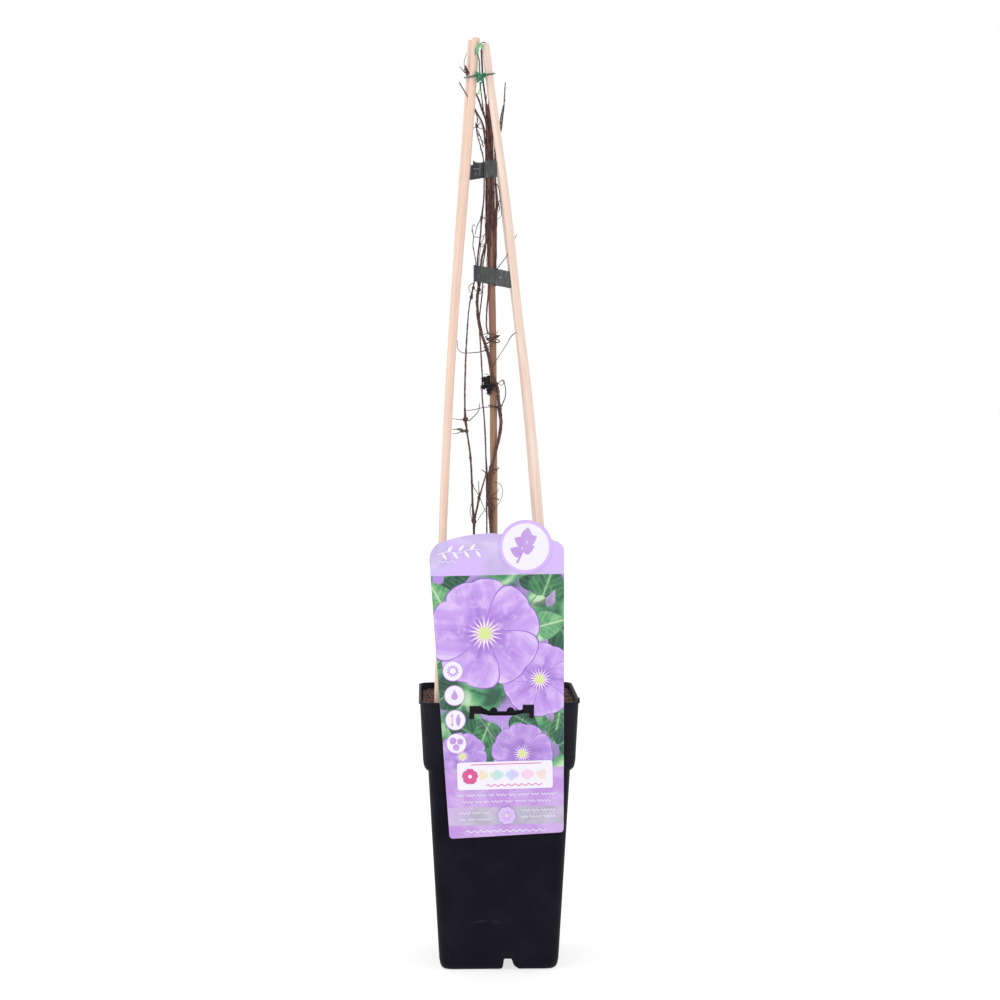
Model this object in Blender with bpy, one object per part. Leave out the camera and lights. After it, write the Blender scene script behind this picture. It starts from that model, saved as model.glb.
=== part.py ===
"""A dormant clematis in a square nursery pot, tied to a pyramid of four sticks round a cane.

All lengths are in millimetres until a mesh is made, and +Z is up. The origin is on the floor
under the middle of the pot, and the picture label hangs on the pot's front, towards -Y.
"""
import math

import bmesh
import bpy
from mathutils import Matrix, Vector
from mathutils.geometry import convex_hull_2d, interpolate_bezier

MM = 0.001
GAP = 0.3                 # clearance between pieces that touch

# Pot: half widths across its flat sides, and heights
POT_HEIGHT = 221.0
RIM_HALF = 65.0
RIM_BEAD = 1.6            # height of the bead round the rim
COLLAR_TOP_HALF = 64.0
COLLAR_HALF = 61.9        # at COLLAR_BEND, where the collar starts to round inwards
COLLAR_BEND = 179.0
COLLAR_FOOT = 164.7
BODY_TOP_HALF = 57.5
BODY_FOOT_HALF = 48.7
BODY_FOOT = 8.5           # where the body starts to round into the base
SKIRT_BEND = 4.0          # where the skirt under the floor starts to thin out
SKIRT_WALL = 2.0
FOOT_HALF = 44.3
FOOT_WIDTH = 2.8
WALL = 1.2
FLOOR_LIFT = 10.2         # the floor's underside, above the notches
FLOOR_BEND = 14.0         # where the inside starts to round into the floor
RIM_CORNER = 11.0
FOOT_CORNER = 9.0
DRAIN_HOLE = 4.0          # radius
DRAIN_CIRCLE = 28.0
NOTCH_TOP, NOTCH_BOTTOM, NOTCH_HEIGHT = 6.2, 11.5, 9.4
NOTCH_OFFSET = 7.0

# Soil
SOIL_TOP = 212.5
SOIL_MOUND = 1.5

# Sticks and cane
STICK_RADIUS = 3.2
CANE_RADIUS = 3.0
STICK_FOOT = 60.0

# Label card, as it hangs in front of the pot: its plane is upright and faces -Y
CARD_BACK = -65.75
CARD_THICK = 0.5
CARD_FOOT_LEFT = (-40.6, 111.6)
CARD_FOOT_RIGHT = (51.3, 116.2)
CARD_SHOULDER_LEFT = (-56.3, 336.0)
CARD_SHOULDER_RIGHT = (51.4, 343.0)
CARD_CREST = (-6.0, 357.3)
CARD_FOOT_CORNER = 3.0
BADGE_CENTRE = (20.6, 346.5)
BADGE_RADIUS = 21.4

# Hooks moulded on the collar, which the slot in the card hangs on: left, right, bottom, top
HOOKS = ((-24.4, -15.2, 212.4, 218.7), (18.4, 27.3, 212.8, 219.6))
HOOK_LEG_WIDTH = 3.7
HOOK_LEG_DROP = 4.0
HOOK_INSET = 1.2          # how far the neck is smaller than the head, all round
HOOK_HEAD = 0.9
SLOT_BAND = (210.8, 214.4)
THUMB_NOTCHES = ((-5.0, 3.1), (8.5, 3.2))     # centre and radius, on the band's top edge

# Ties
TAPE_WIDTH = 13.0
TAPE_THICK = 0.5
TAPE_UPPER = 651.3        # middle height of each tape, where it passes x = 0
TAPE_LOWER = 563.5
TAPE_LOWER_TILT = -0.16   # its rise towards +X
STAPLE_WIDTH = 4.4
STAPLE_WIRE = 0.25
TIE_WIRE = 0.65
TIE_HEIGHT = 725.8        # of the loop, at the knot
TIE_TILT = 0.14           # its rise towards +X
TIE_BACK_RISE = 0.12      # its rise towards +Y

# The upper tape's two free ends, stapled together: x, y
TAPE_FRONT_END = [(-11.9, -2), (-13.6, -3.7), (-16.4, -4.3), (-20, -4.2)]
TAPE_BACK_END = [(-11.9, -1.2), (-13.5, -3), (-16.4, -3.75), (-20.5, -3.5), (-24.6, -2.2)]
UPPER_STAPLE = (-17.4, -4.6, TAPE_UPPER)

# The wire tie's knot holds four strands, each with its radius at both ends: x, y, z
TIE_STRANDS = {
    "join_riser": ([(-14.6, -15, 726), (-15.1, -14.6, 734), (-15.2, -13.8, 740),
                    (-16.4, -13.4, 745.5)], (0.6, 0.6)),
    "join_wrap": ([(-16.9, -13.6, 744), (-16.2, -13.7, 748), (-15, -13.8, 751.3),
                   (-12.8, -14.4, 751.8), (-12, -14.8, 749)], (1.3, 1.1)),
    "join_hook": ([(-14, -14, 752.2), (-11.6, -12, 753.2), (-10.1, -9.4, 753.0),
                   (-9.4, -5.4, 752.4), (-9.6, -4.6, 749)], (0.5, 0.5)),
    "join_tail": ([(-14.3, -15, 724), (-14.5, -14.6, 719), (-14.9, -13.8, 714),
                   (-16.4, -13.4, 710)], (0.55, 0.45)),
}

# Centre lines of the sticks, from the soil to the tip: x, y, z
STICK_LINES = {
    "stick_front_left": [(-46.5, -41.5, STICK_FOOT), (-49.2, -43, 224), (-48.2, -42, 243),
                         (-45.2, -34.5, 355), (-43.3, -31.6, 398), (-38.6, -25.8, 484),
                         (-33.5, -21, 556), (-28.2, -16.8, 618), (-21.9, -11.4, 699),
                         (-17.6, -7.5, 757)],
    "stick_back_left": [(-46.5, 41.5, STICK_FOOT), (-48.7, 43, 224), (-47.8, 42, 243),
                        (-45, 34.5, 355), (-43.2, 31, 398), (-38.8, 26, 484),
                        (-34.2, 20.5, 556), (-29.9, 15.8, 620), (-24, 10.1, 701),
                        (-20.7, 6.1, 757)],
    "stick_front_right": [(46, -41.5, STICK_FOOT), (46.5, -43, 224), (39.3, -38.6, 300),
                          (33.4, -35.3, 366), (27.9, -30.9, 430), (22.3, -27.3, 484),
                          (17.8, -24.9, 520), (7.4, -18.3, 618), (-3.4, -12.9, 699),
                          (-10.1, -9.3, 752)],
    "stick_back_right": [(46, 41.5, STICK_FOOT), (46.5, 43, 224), (39.5, 38.4, 300),
                         (33.4, 34.3, 363), (27.9, 30.2, 429), (22.5, 28, 484),
                         (18.4, 25.5, 521), (6.6, 19, 620), (-3.2, 13, 702), (-9.6, 8.6, 753)],
}
CANE_LINE = [(-1.8, 0, STICK_FOOT), (-2.4, 0, 215), (-2.8, 0, 353), (-3.5, 0, 484),
             (-4.2, 0, 536), (-5.2, 0, 582), (-6, 0, 634), (-6.9, 0, 702)]

# Centre lines of the stems, each from its root or its lowest end to its tip: x, y, z
MAIN_STEM = [(-4, -8, 170), (-4, -8, 215), (-4.5, -7, 280), (-5.4, -6.2, 354),
             (-6.2, -5.9, 370), (-6.9, -5.4, 396), (-5.4, -5.2, 407), (-3.3, -5.1, 413),
             (-1, -4.9, 423), (1.4, -3.6, 431.5), (2.9, -2.2, 443), (1.7, -2.2, 455),
             (0.8, -3.2, 463), (0.4, -3.9, 471), (-2.1, -5, 477), (-5, -5.6, 486),
             (-7.2, -5, 499), (-10.1, -3.8, 509), (-13, -3.4, 517), (-15.2, -3.2, 526),
             (-16.4, -3, 536), (-16.8, -3, 545), (-15.6, -3, 553), (-14.3, -3, 560),
             (-13.9, -3.2, 569), (-13.3, -3.6, 576), (-11.6, -4.2, 584), (-9, -5, 594),
             (-7.8, -5.2, 604), (-7.4, -5.2, 634), (-7.2, -5, 655), (-7.2, -4.8, 668),
             (-8, -4.6, 681), (-10.6, -4.2, 694), (-13.5, -3.6, 702), (-15.9, -2.2, 709),
             (-19.1, -0.8, 716), (-21.9, 0, 723), (-22.9, 0.2, 728.5), (-24.6, 0.4, 732),
             (-26.2, 0.5, 735.5)]
INNER_STEM = [(-9, -4, 170), (-9, -4, 215), (-8.8, -3.2, 300), (-8.8, -3, 354),
              (-8.9, -2.8, 384), (-8.8, -2.2, 400), (-9.4, -1.6, 415), (-10.3, -1, 439),
              (-11.3, -1, 453), (-12.4, -1, 463), (-12.7, -1, 472), (-12.4, -1, 481),
              (-13, -1, 491), (-13.7, -0.5, 505), (-14.4, 0.2, 516), (-14.9, 0.8, 526),
              (-14.1, 1.2, 536), (-13, 1.2, 545), (-12.2, 1.2, 553), (-11.9, 1, 565),
              (-11.9, 0.4, 573), (-10.6, -1.2, 581), (-9.5, -2.7, 590), (-9.3, -3.1, 602),
              (-9.4, -3, 630), (-9.6, -3, 655), (-9.8, -3.1, 667), (-10.4, -3, 678),
              (-11.6, -2.4, 686), (-14.7, -1.8, 693), (-18.3, -1, 699), (-24.8, 0, 711),
              (-31.1, 1, 722)]
LEFT_STEM = [(-14, -9, 170), (-14, -9, 215), (-17.5, -8.5, 290), (-19.5, -8, 354),
             (-19.5, -8, 364), (-20.4, -8, 374), (-21.3, -8, 398), (-22.3, -7.5, 416),
             (-25.2, -7, 437), (-26.4, -7, 447), (-26.9, -6.5, 458), (-26.5, -5, 486),
             (-26, -4.5, 500), (-25.2, -4, 514), (-24.4, -4, 527), (-22.9, -4, 541),
             (-21.3, -4, 549), (-19.3, -4, 558), (-18, -3.8, 567), (-17.7, -3.6, 575),
             (-19, -3.2, 583), (-20.1, -3, 590), (-19.6, -3, 597), (-20.4, -3, 605)]
CANE_STEM = [(-8.8, -3.2, 521), (-9, -3.2, 531), (-8.5, -3.4, 540), (-7.8, -3.8, 547),
             (-7.4, -4.1, 557), (-7.6, -4.1, 569), (-7.6, -4, 581), (-7, -4.2, 590),
             (-6.2, -4.4, 598), (-5, -4.5, 612), (-4.4, -4.4, 630), (-4.2, -4.4, 650),
             (-4.6, -4.3, 667), (-5.8, -4.2, 679), (-7.4, -4.2, 691), (-8.8, -4, 701),
             (-10.2, -3.8, 711), (-11.8, -3.8, 724), (-12.6, -4, 736), (-13.2, -4.2, 748)]
RIGHT_STEM = [(-1.8, -3.3, 556), (-2, -3.1, 572), (-1.7, -2.4, 597), (-1.3, -2, 612),
              (-0.2, -1.8, 623), (-0.9, -2, 634), (-1.7, -2.4, 645), (-1.8, -2.6, 659),
              (-1.4, -2.2, 668), (0.9, -1, 678), (3, -0.2, 684), (4, 0, 691), (5.1, 0, 700),
              (5.8, 0, 710), (6.5, 0, 722)]

# Side shoots and dried leaf stalks, each starting inside the stem that it grows from
SIDE_SHOOT = [(-15.6, -3, 552.5), (-16, -1.2, 561), (-16.2, -0.4, 571), (-16, -0.6, 580),
              (-14.8, -1.6, 590), (-13.7, -1.8, 600), (-12.9, -1.5, 612), (-11.4, -0.6, 624),
              (-10.9, 0.2, 634), (-10.9, 0.4, 650), (-11.4, -0.8, 659), (-14, -3, 670),
              (-16.3, -4, 678), (-17.2, -4.6, 685), (-16.4, -5, 691), (-17.4, -5, 697)]
LADDER_TWIG = [(-17.1, -4.5, 684), (-15.1, -4.8, 680), (-13.5, -5, 675.5), (-11.6, -5.2, 669)]
CROSSING_STALK = [(1.6, -2.2, 456), (-3, -6.2, 457), (-7.1, -6.4, 457), (-12.3, -5, 456.5),
                  (-18.5, -6.4, 455), (-25.5, -9.2, 454)]
RIGHT_LOOP = [(1.7, -2.2, 455.5), (4.3, -3, 460), (6.6, -4, 467), (5.6, -4.4, 477),
              (4, -4.6, 480)]
LONG_STALK = [(-8.4, -4.6, 504), (-13, -6.8, 502.5), (-19.7, -8.8, 501.5), (-31.4, -9.2, 503),
              (-33.3, -9.4, 512)]
REACHING_STALK = [(-5.6, -5.5, 488.5), (-3.2, -5.6, 491.5), (-0.3, -5, 496.5),
                  (6.7, -5, 507), (13.3, -6, 517), (15.8, -6, 518)]
TOP_TWIG = [(-11.3, -4.1, 696), (-12.3, -4.8, 705), (-13.2, -5, 711), (-13.6, -5.1, 716)]
LEFT_FORK = [(-19.5, -8, 363), (-17, -8, 374), (-15.2, -7.8, 382.5), (-12.4, -7.8, 392),
             (-9.4, -7.8, 403)]
BUD_STALK = [(-25.3, -7, 437.4), (-29.2, -7.6, 437.8), (-33.4, -8, 438.8)]
LEFT_STALK = [(-26.4, -7, 446.6), (-31.7, -8, 446.8), (-37.5, -10, 447.7)]
CLIMBING_STALK = [(-26.4, -7, 446.8), (-23.7, -7.4, 446), (-20.4, -6.6, 448.5),
                  (-15.6, -3.6, 454), (-14.6, -2.8, 460)]
SPIKE = [(-8.8, -2.4, 402), (-11.4, -3, 404.4), (-13.8, -3.4, 405.5)]
HANGING_TWIG = [(-1.3, -2.2, 640), (0.6, -3, 637), (2.4, -3.2, 626), (3.5, -3.2, 613)]
TAPE_TWIG = [(-2, -3, 574), (-0.4, -3.8, 575.2), (2.8, -5, 577), (8.5, -6, 582)]


def clear_scene():
    """Empty the scene."""
    for item in list(bpy.data.objects):
        bpy.data.objects.remove(item, do_unlink=True)


def material(name, colour, roughness, metallic=0.0):
    """A plain Principled material, with its colour in linear RGB."""
    shader = bpy.data.materials.new(name)
    shader.use_nodes = True
    principled = shader.node_tree.nodes["Principled BSDF"]
    principled.inputs["Base Color"].default_value = (*colour, 1.0)
    principled.inputs["Roughness"].default_value = roughness
    principled.inputs["Metallic"].default_value = metallic
    shader.diffuse_color = (*colour, 1.0)
    return shader


def add_object(name, mesh_in_mm, surface=None, smooth=40.0):
    """Turn a bmesh in millimetres into an object in metres."""
    bmesh.ops.recalc_face_normals(mesh_in_mm, faces=mesh_in_mm.faces)
    bmesh.ops.scale(mesh_in_mm, vec=(MM, MM, MM), verts=mesh_in_mm.verts)
    mesh = bpy.data.meshes.new(name)
    mesh_in_mm.to_mesh(mesh)
    mesh_in_mm.free()
    mesh.shade_smooth()
    mesh.set_sharp_from_angle(angle=math.radians(smooth))
    piece = bpy.data.objects.new(name, mesh)
    bpy.context.collection.objects.link(piece)
    if surface:
        mesh.materials.append(surface)
    return piece


def combine(piece, other, operation):
    """Join another shape to a piece, or cut it away, and leave that shape out of the model."""
    other.hide_render = True
    other.display_type = "WIRE"
    step = piece.modifiers.new(other.name, "BOOLEAN")
    step.operation = operation
    step.solver = "EXACT"
    step.object = other


def add_loft(shape, rings, closed=False):
    """Skin rings of equal length with quads, cap an open row's ends, and return the corners."""
    rows = [[shape.verts.new(point) for point in ring] for ring in rings]
    count = len(rows[0])
    pairs = list(zip(rows, rows[1:]))
    if closed:
        pairs.append((rows[-1], rows[0]))
    for low, high in pairs:
        for i in range(count):
            j = (i + 1) % count
            shape.faces.new((low[i], low[j], high[j], high[i]))
    if not closed:
        shape.faces.new(list(reversed(rows[0])))
        shape.faces.new(rows[-1])
    return [corner for row in rows for corner in row]


def add_prism(shape, outline, front, back):
    """A flat outline of (x, z) points, given a thickness along Y."""
    return add_loft(shape, [[Vector((x, y, z)) for x, z in outline] for y in (front, back)])


def arc(centre, radius, start, end, count):
    """Points (x, z) on a round stretch, with its angles in degrees."""
    angles = [math.radians(start + (end - start) * i / count) for i in range(count + 1)]
    return [(centre[0] + radius * math.cos(a), centre[1] + radius * math.sin(a)) for a in angles]


def rounded_square(half, corner, z, steps=4):
    """A level square ring with round corners."""
    ring = []
    inner = half - corner
    for quarter, (sx, sy) in enumerate(((1, 1), (-1, 1), (-1, -1), (1, -1))):
        ring += [Vector((x, y, z)) for x, y in
                 arc((sx * inner, sy * inner), corner, 90 * quarter, 90 * quarter + 90, steps)]
    return ring


def smooth_line(points, step):
    """A smooth curve through points, as points about a step apart."""
    line = [Vector(p) for p in points]
    line = [2 * line[0] - line[1]] + line + [2 * line[-1] - line[-2]]
    result = [line[1]]
    for before, start, end, after in zip(line, line[1:], line[2:], line[3:]):
        length = (end - start).length
        leave = (end - before) / ((start - before).length + length) * length / 3
        arrive = (after - start) / ((after - end).length + length) * length / 3
        count = max(1, round(length / step))
        result += interpolate_bezier(start, start + leave, end - arrive, end, count + 1)[1:]
    return result


def add_tube(shape, line, radii, sides):
    """A round tube along a line, its radius changing evenly from one end to the other."""
    across = (line[1] - line[0]).orthogonal().normalized()
    rings = []
    for i, centre in enumerate(line):
        ahead = (line[min(i + 1, len(line) - 1)] - line[max(i - 1, 0)]).normalized()
        across = (across - across.dot(ahead) * ahead).normalized()
        other = ahead.cross(across)
        radius = radii[0] + (radii[1] - radii[0]) * i / (len(line) - 1)
        angles = [math.tau * k / sides for k in range(sides)]
        rings.append([centre + radius * (math.cos(a) * across + math.sin(a) * other)
                      for a in angles])
    add_loft(shape, rings)


def point_at_height(points, z):
    """Where a centre line passes a height."""
    line = [Vector(p) for p in points]
    for low, high in zip(line, line[1:]):
        if low.z <= z <= high.z:
            return low.lerp(high, (z - low.z) / (high.z - low.z))
    return line[-1]


def curl_round_cane(start_z, end_z, start_angle, turns, radius):
    """Points of a tendril that winds round the cane."""
    count = round(10 * abs(turns))
    points = []
    for i in range(count + 1):
        angle = math.radians(start_angle + 360 * turns * i / count)
        centre = point_at_height(CANE_LINE, start_z + (end_z - start_z) * i / count)
        points.append(centre + radius * Vector((math.cos(angle), math.sin(angle), 0)))
    return points


def pot_rings():
    """The pot's section, from under its floor, up the outside, over the rim and down inside."""
    lip = POT_HEIGHT - RIM_BEAD
    body_top = BODY_TOP_HALF
    section = [
        (BODY_FOOT_HALF - SKIRT_WALL, FLOOR_LIFT),
        (BODY_FOOT_HALF - SKIRT_WALL - 0.6, SKIRT_BEND), (FOOT_HALF - FOOT_WIDTH, 0),
        (FOOT_HALF, 0), (FOOT_HALF + 2.3, 1.2), (BODY_FOOT_HALF - 0.8, 4),
        (BODY_FOOT_HALF, BODY_FOOT), (body_top, COLLAR_FOOT), (body_top + 1.3, COLLAR_FOOT),
        (COLLAR_HALF - 1.3, COLLAR_FOOT + 2.8), (COLLAR_HALF - 0.4, COLLAR_FOOT + 7.5),
        (COLLAR_HALF, COLLAR_BEND), (COLLAR_TOP_HALF, lip), (RIM_HALF, lip),
        (RIM_HALF, POT_HEIGHT), (RIM_HALF - 1.5, POT_HEIGHT), (COLLAR_TOP_HALF - WALL, lip),
        (COLLAR_HALF - WALL, COLLAR_BEND), (COLLAR_HALF - 0.4 - WALL, COLLAR_FOOT + 8),
        (COLLAR_HALF - 1.8 - WALL, COLLAR_FOOT + 3.8), (body_top - WALL, COLLAR_FOOT + 1.2),
        (BODY_FOOT_HALF + 0.3 - WALL, FLOOR_BEND),
        (BODY_FOOT_HALF - 0.8 - WALL, FLOOR_LIFT + WALL)]
    taper = (RIM_CORNER - FOOT_CORNER) / POT_HEIGHT
    return [rounded_square(half, FOOT_CORNER + taper * z, z) for half, z in section]


def hook_outline(left, right, bottom, top):
    """A hook's head: a block with a leg at its outer side."""
    leg = bottom - HOOK_LEG_DROP
    if left < 0:
        return [(left, leg), (left + HOOK_LEG_WIDTH, leg), (left + HOOK_LEG_WIDTH, bottom),
                (right, bottom), (right, top), (left, top)]
    return [(right - HOOK_LEG_WIDTH, leg), (right, leg), (right, top), (left, top),
            (left, bottom), (right - HOOK_LEG_WIDTH, bottom)]


def build_pot(surface):
    """Thin tapered pot with a collar, drain holes, two label hooks and a notched skirt.

    The skirt's notches lie opposite each other, under the raised floor.
    """
    shape = bmesh.new()
    add_loft(shape, pot_rings())
    pot = add_object("pot", shape, surface)

    holes = bmesh.new()
    for i in range(8):
        angle = math.radians(22.5 + 45 * i)
        centre = Vector((DRAIN_CIRCLE * math.cos(angle), DRAIN_CIRCLE * math.sin(angle), 0))
        add_tube(holes, [centre, centre + Vector((0, 0, FLOOR_LIFT + 5))],
                 (DRAIN_HOLE, DRAIN_HOLE), 12)
    combine(pot, add_object("cut_drain_holes", holes), "DIFFERENCE")

    notches = bmesh.new()
    outline = [(NOTCH_OFFSET - NOTCH_TOP / 2 - 0.6, -1), (NOTCH_OFFSET + NOTCH_BOTTOM - 3, -1),
               (NOTCH_OFFSET + NOTCH_TOP / 2, NOTCH_HEIGHT),
               (NOTCH_OFFSET - NOTCH_TOP / 2, NOTCH_HEIGHT)]
    facing = [(-x, z) for x, z in outline]
    for side in range(4):
        corners = add_prism(notches, outline if side < 2 else facing, -52, -39)
        bmesh.ops.rotate(notches, verts=corners, matrix=Matrix.Rotation(side * math.pi / 2, 3, "Z"))
    combine(pot, add_object("cut_base_notches", notches), "DIFFERENCE")

    necks, heads = bmesh.new(), bmesh.new()
    card_front = CARD_BACK - CARD_THICK
    for left, right, bottom, top in HOOKS:
        neck = [(left + HOOK_INSET, bottom + HOOK_INSET), (right - HOOK_INSET, bottom + HOOK_INSET),
                (right - HOOK_INSET, top - HOOK_INSET), (left + HOOK_INSET, top - HOOK_INSET)]
        add_prism(necks, neck, card_front - GAP - 0.4, -COLLAR_TOP_HALF + 0.9)
        add_prism(heads, hook_outline(left, right, bottom, top),
                  card_front - GAP - HOOK_HEAD, card_front - GAP)
    combine(pot, add_object("join_hook_necks", necks), "UNION")
    combine(pot, add_object("join_hook_heads", heads), "UNION")


def soil_rings():
    """The soil's section, which follows the pot's inside a gap away from it."""
    inset = WALL + GAP + 0.2
    section = [(BODY_FOOT_HALF - 1.2 - inset, FLOOR_LIFT + WALL + GAP),
               (BODY_FOOT_HALF + 0.3 - inset, FLOOR_BEND + 0.5),
               (BODY_TOP_HALF - inset, COLLAR_FOOT + 1.5),
               (COLLAR_HALF - 1.9 - inset, COLLAR_FOOT + 5.4),
               (COLLAR_HALF - inset, COLLAR_BEND + 1), (62.0, SOIL_TOP),
               (48.0, SOIL_TOP + SOIL_MOUND), (26.0, SOIL_TOP + 0.6)]
    taper = (RIM_CORNER - FOOT_CORNER) / POT_HEIGHT
    return [rounded_square(half, min(FOOT_CORNER + taper * z, half / 2), z)
            for half, z in section]


def build_soil(surface, buried):
    """The block of soil, bored for everything that stands in it."""
    shape = bmesh.new()
    add_loft(shape, soil_rings())
    soil = add_object("soil", shape, surface)
    bores = bmesh.new()
    for points, radius, sides in buried:
        foot = Vector(points[0])
        line = [p for p in smooth_line(points, 40) if p.z < SOIL_TOP + 40]
        line[0] = foot - (line[1] - foot).normalized() * 2 * GAP
        add_tube(bores, line, (radius + GAP + 0.15, radius + GAP + 0.15), sides)
    combine(soil, add_object("cut_bores", bores), "DIFFERENCE")


def build_sticks(stick_wood, cane_wood):
    """Four bowed sticks that lean together, and the cane in their middle."""
    for name, points in STICK_LINES.items():
        shape = bmesh.new()
        add_tube(shape, smooth_line(points, 40), (STICK_RADIUS, STICK_RADIUS), 12)
        add_object(name, shape, stick_wood)
    shape = bmesh.new()
    add_tube(shape, smooth_line(CANE_LINE, 45), (CANE_RADIUS, CANE_RADIUS), 12)
    add_object("cane", shape, cane_wood)


def card_outline():
    """The card's edge: a tapered sheet with a low arched top and a round badge on it."""
    left_x, left_z = CARD_FOOT_LEFT
    right_x, right_z = CARD_FOOT_RIGHT
    r = CARD_FOOT_CORNER
    badge_start, badge_end = 16.0, 152.0
    edge = arc((right_x - r, right_z + r), r, -88, 0, 3)
    edge += [CARD_SHOULDER_RIGHT, (49.8, 347.6), (46.5, 350.4)]
    edge += arc(BADGE_CENTRE, BADGE_RADIUS, badge_start, badge_end, 16)
    crest_x, crest_z = CARD_CREST
    bow = (crest_z - 349.4) / (crest_x + 49.0) ** 2
    edge += [(x, crest_z - bow * (x - crest_x) ** 2) for x in (crest_x, -20, -33, -42, -49)]
    edge += [(-53.6, 345.0), (-55.8, 340.6), CARD_SHOULDER_LEFT]
    return edge + arc((left_x + r, left_z + r), r, 176, 272, 3)


def slot_outline():
    """The opening in the card: a band with two thumb notches, and room for a neck at each end."""
    (left_a, left_b, left_low, left_high), (right_a, right_b, right_low, right_high) = HOOKS
    low, high = SLOT_BAND
    room = HOOK_INSET - 0.6
    edge = [(left_a + room, left_low + room), (left_b - 1, left_low + room - 0.4), (-8.2, low),
            (11.7, low), (right_a + 0.6, right_low + room - 0.6),
            (right_b - room, right_low + room), (right_b - room, right_high - room),
            (right_a + room, right_high - room), (right_a - 0.4, high + 1.4)]
    for x, radius in reversed(THUMB_NOTCHES):
        edge += arc((x, high), radius, 0, 180, 8)
    return edge + [(left_b + 0.2, left_high - room), (left_a + room, left_high - room)]


def build_card(surface):
    """The picture label, a stiff printed sheet that hangs on the two hooks."""
    shape = bmesh.new()
    add_prism(shape, card_outline(), CARD_BACK - CARD_THICK, CARD_BACK)
    card = add_object("label_card", shape, surface)
    slot = bmesh.new()
    add_prism(slot, slot_outline(), CARD_BACK - CARD_THICK - 1, CARD_BACK + 1)
    combine(card, add_object("cut_slot", slot), "DIFFERENCE")


def taut_loop(lines, middle, tilt):
    """What a tie drawn round some centre lines lies against: pairs of a line and a direction."""
    samples, contacts = [], []
    for number, (points, radius) in enumerate(lines):
        centre = point_at_height(points, middle + tilt * point_at_height(points, middle).x)
        for degrees in range(0, 360, 15):
            angle = math.radians(degrees)
            direction = Vector((math.cos(angle), math.sin(angle), 0))
            samples.append((centre + radius * direction).xy)
            contacts.append((number, direction))
    loop = []
    last = None
    for i in convex_hull_2d(samples):
        if last is None or (samples[i] - last).length > 0.6:
            loop.append(contacts[i])
            last = samples[i]
    return loop


def touch(line, direction, middle, tilt, rise, stand_off):
    """The point where a tie passes a line, at a height that rises evenly towards +X."""
    points, radius = line
    centre = point_at_height(points, middle + tilt * point_at_height(points, middle).x + rise)
    spot = centre + (radius + GAP + 0.1 + stand_off) * direction
    spot.z = middle + tilt * spot.x + rise
    return spot


def build_tape(name, lines, middle, tilt, surface):
    """A band of tape drawn tight round some stems, with the middle line of its outer face."""
    half = TAPE_WIDTH / 2
    section = ((0, -half), (TAPE_THICK, -half), (TAPE_THICK, half), (0, half))
    loop = taut_loop(lines, middle, tilt)
    rings = [[touch(lines[number], direction, middle, tilt, rise, out) for out, rise in section]
             for number, direction in loop]
    shape = bmesh.new()
    add_loft(shape, rings, closed=True)
    return add_object(name, shape, surface, smooth=50), [(r[1] + r[2]) / 2 for r in rings]


def add_tab(tape, name, points, lift):
    """A free end of the tape, a flat strip along a line of (x, y) points."""
    line = smooth_line([Vector((x, y, 0)) for x, y in points], 3)
    rings = []
    for i, centre in enumerate(line):
        ahead = (line[min(i + 1, len(line) - 1)] - line[max(i - 1, 0)]).normalized()
        out = Vector((ahead.y, -ahead.x, 0)) * TAPE_THICK / 2
        low = TAPE_UPPER - TAPE_WIDTH / 2 + lift * i / (len(line) - 1)
        rings.append([Vector((*(centre + side * out).xy, low + rise)) for side, rise in
                      ((-1, 0), (1, 0), (1, TAPE_WIDTH), (-1, TAPE_WIDTH))])
    shape = bmesh.new()
    add_loft(shape, rings)
    combine(tape, add_object(name, shape), "UNION")


def build_staple(name, tape, middle, along, depth, surface):
    """A small staple through some thickness of tape, its ends bent over behind."""
    along = along.normalized()
    out = along.cross(Vector((0, 0, 1))).normalized()

    def place(sideways, outwards):
        return middle + along * sideways + out * outwards

    half = STAPLE_WIDTH / 2
    crown = GAP + STAPLE_WIRE
    behind = -depth - GAP - STAPLE_WIRE
    line = [place(-half + 1.3, behind), place(-half, behind), place(-half, crown),
            place(half, crown), place(half, behind), place(half - 1.3, behind)]
    shape = bmesh.new()
    add_tube(shape, line, (STAPLE_WIRE, STAPLE_WIRE), 6)
    add_object(name, shape, surface)

    holes = bmesh.new()
    for side in (-half, half):
        add_tube(holes, [place(side, 1), place(side, -depth - 1)], (0.7, 0.7), 6)
    combine(tape, add_object("cut_" + name, holes), "DIFFERENCE")


def build_tapes(surface, steel):
    """Two tape ties: one round the stems and the cane, one that also holds a stick."""
    upper, _ = build_tape(
        "tape_upper", [(CANE_LINE, CANE_RADIUS), (MAIN_STEM, 1.0), (CANE_STEM, 0.9),
                       (RIGHT_STEM, 0.9), (SIDE_SHOOT, 0.7), (INNER_STEM, 0.8)],
        TAPE_UPPER, 0.0, surface)
    add_tab(upper, "join_front_end", TAPE_FRONT_END, 0.9)
    add_tab(upper, "join_back_end", TAPE_BACK_END, -0.8)
    build_staple("staple_upper", upper, Vector(UPPER_STAPLE), Vector((1, 0, 0)),
                 2 * TAPE_THICK + GAP, steel)

    lower, face = build_tape(
        "tape_lower", [(STICK_LINES["stick_back_right"], STICK_RADIUS), (CANE_LINE, CANE_RADIUS),
                       (LEFT_STEM, 0.9), (MAIN_STEM, 1.2), (SIDE_SHOOT, 0.9), (CANE_STEM, 0.9),
                       (RIGHT_STEM, 0.9)],
        TAPE_LOWER, TAPE_LOWER_TILT, surface)
    start, end = max(((a, b) for a, b in zip(face, face[1:] + face[:1]) if b.x > a.x),
                     key=lambda span: (span[1] - span[0]).length)
    along = (end - start).normalized()
    build_staple("staple_lower", lower, start + along * (STAPLE_WIDTH / 2 + 1.5), along,
                 TAPE_THICK, steel)


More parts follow.
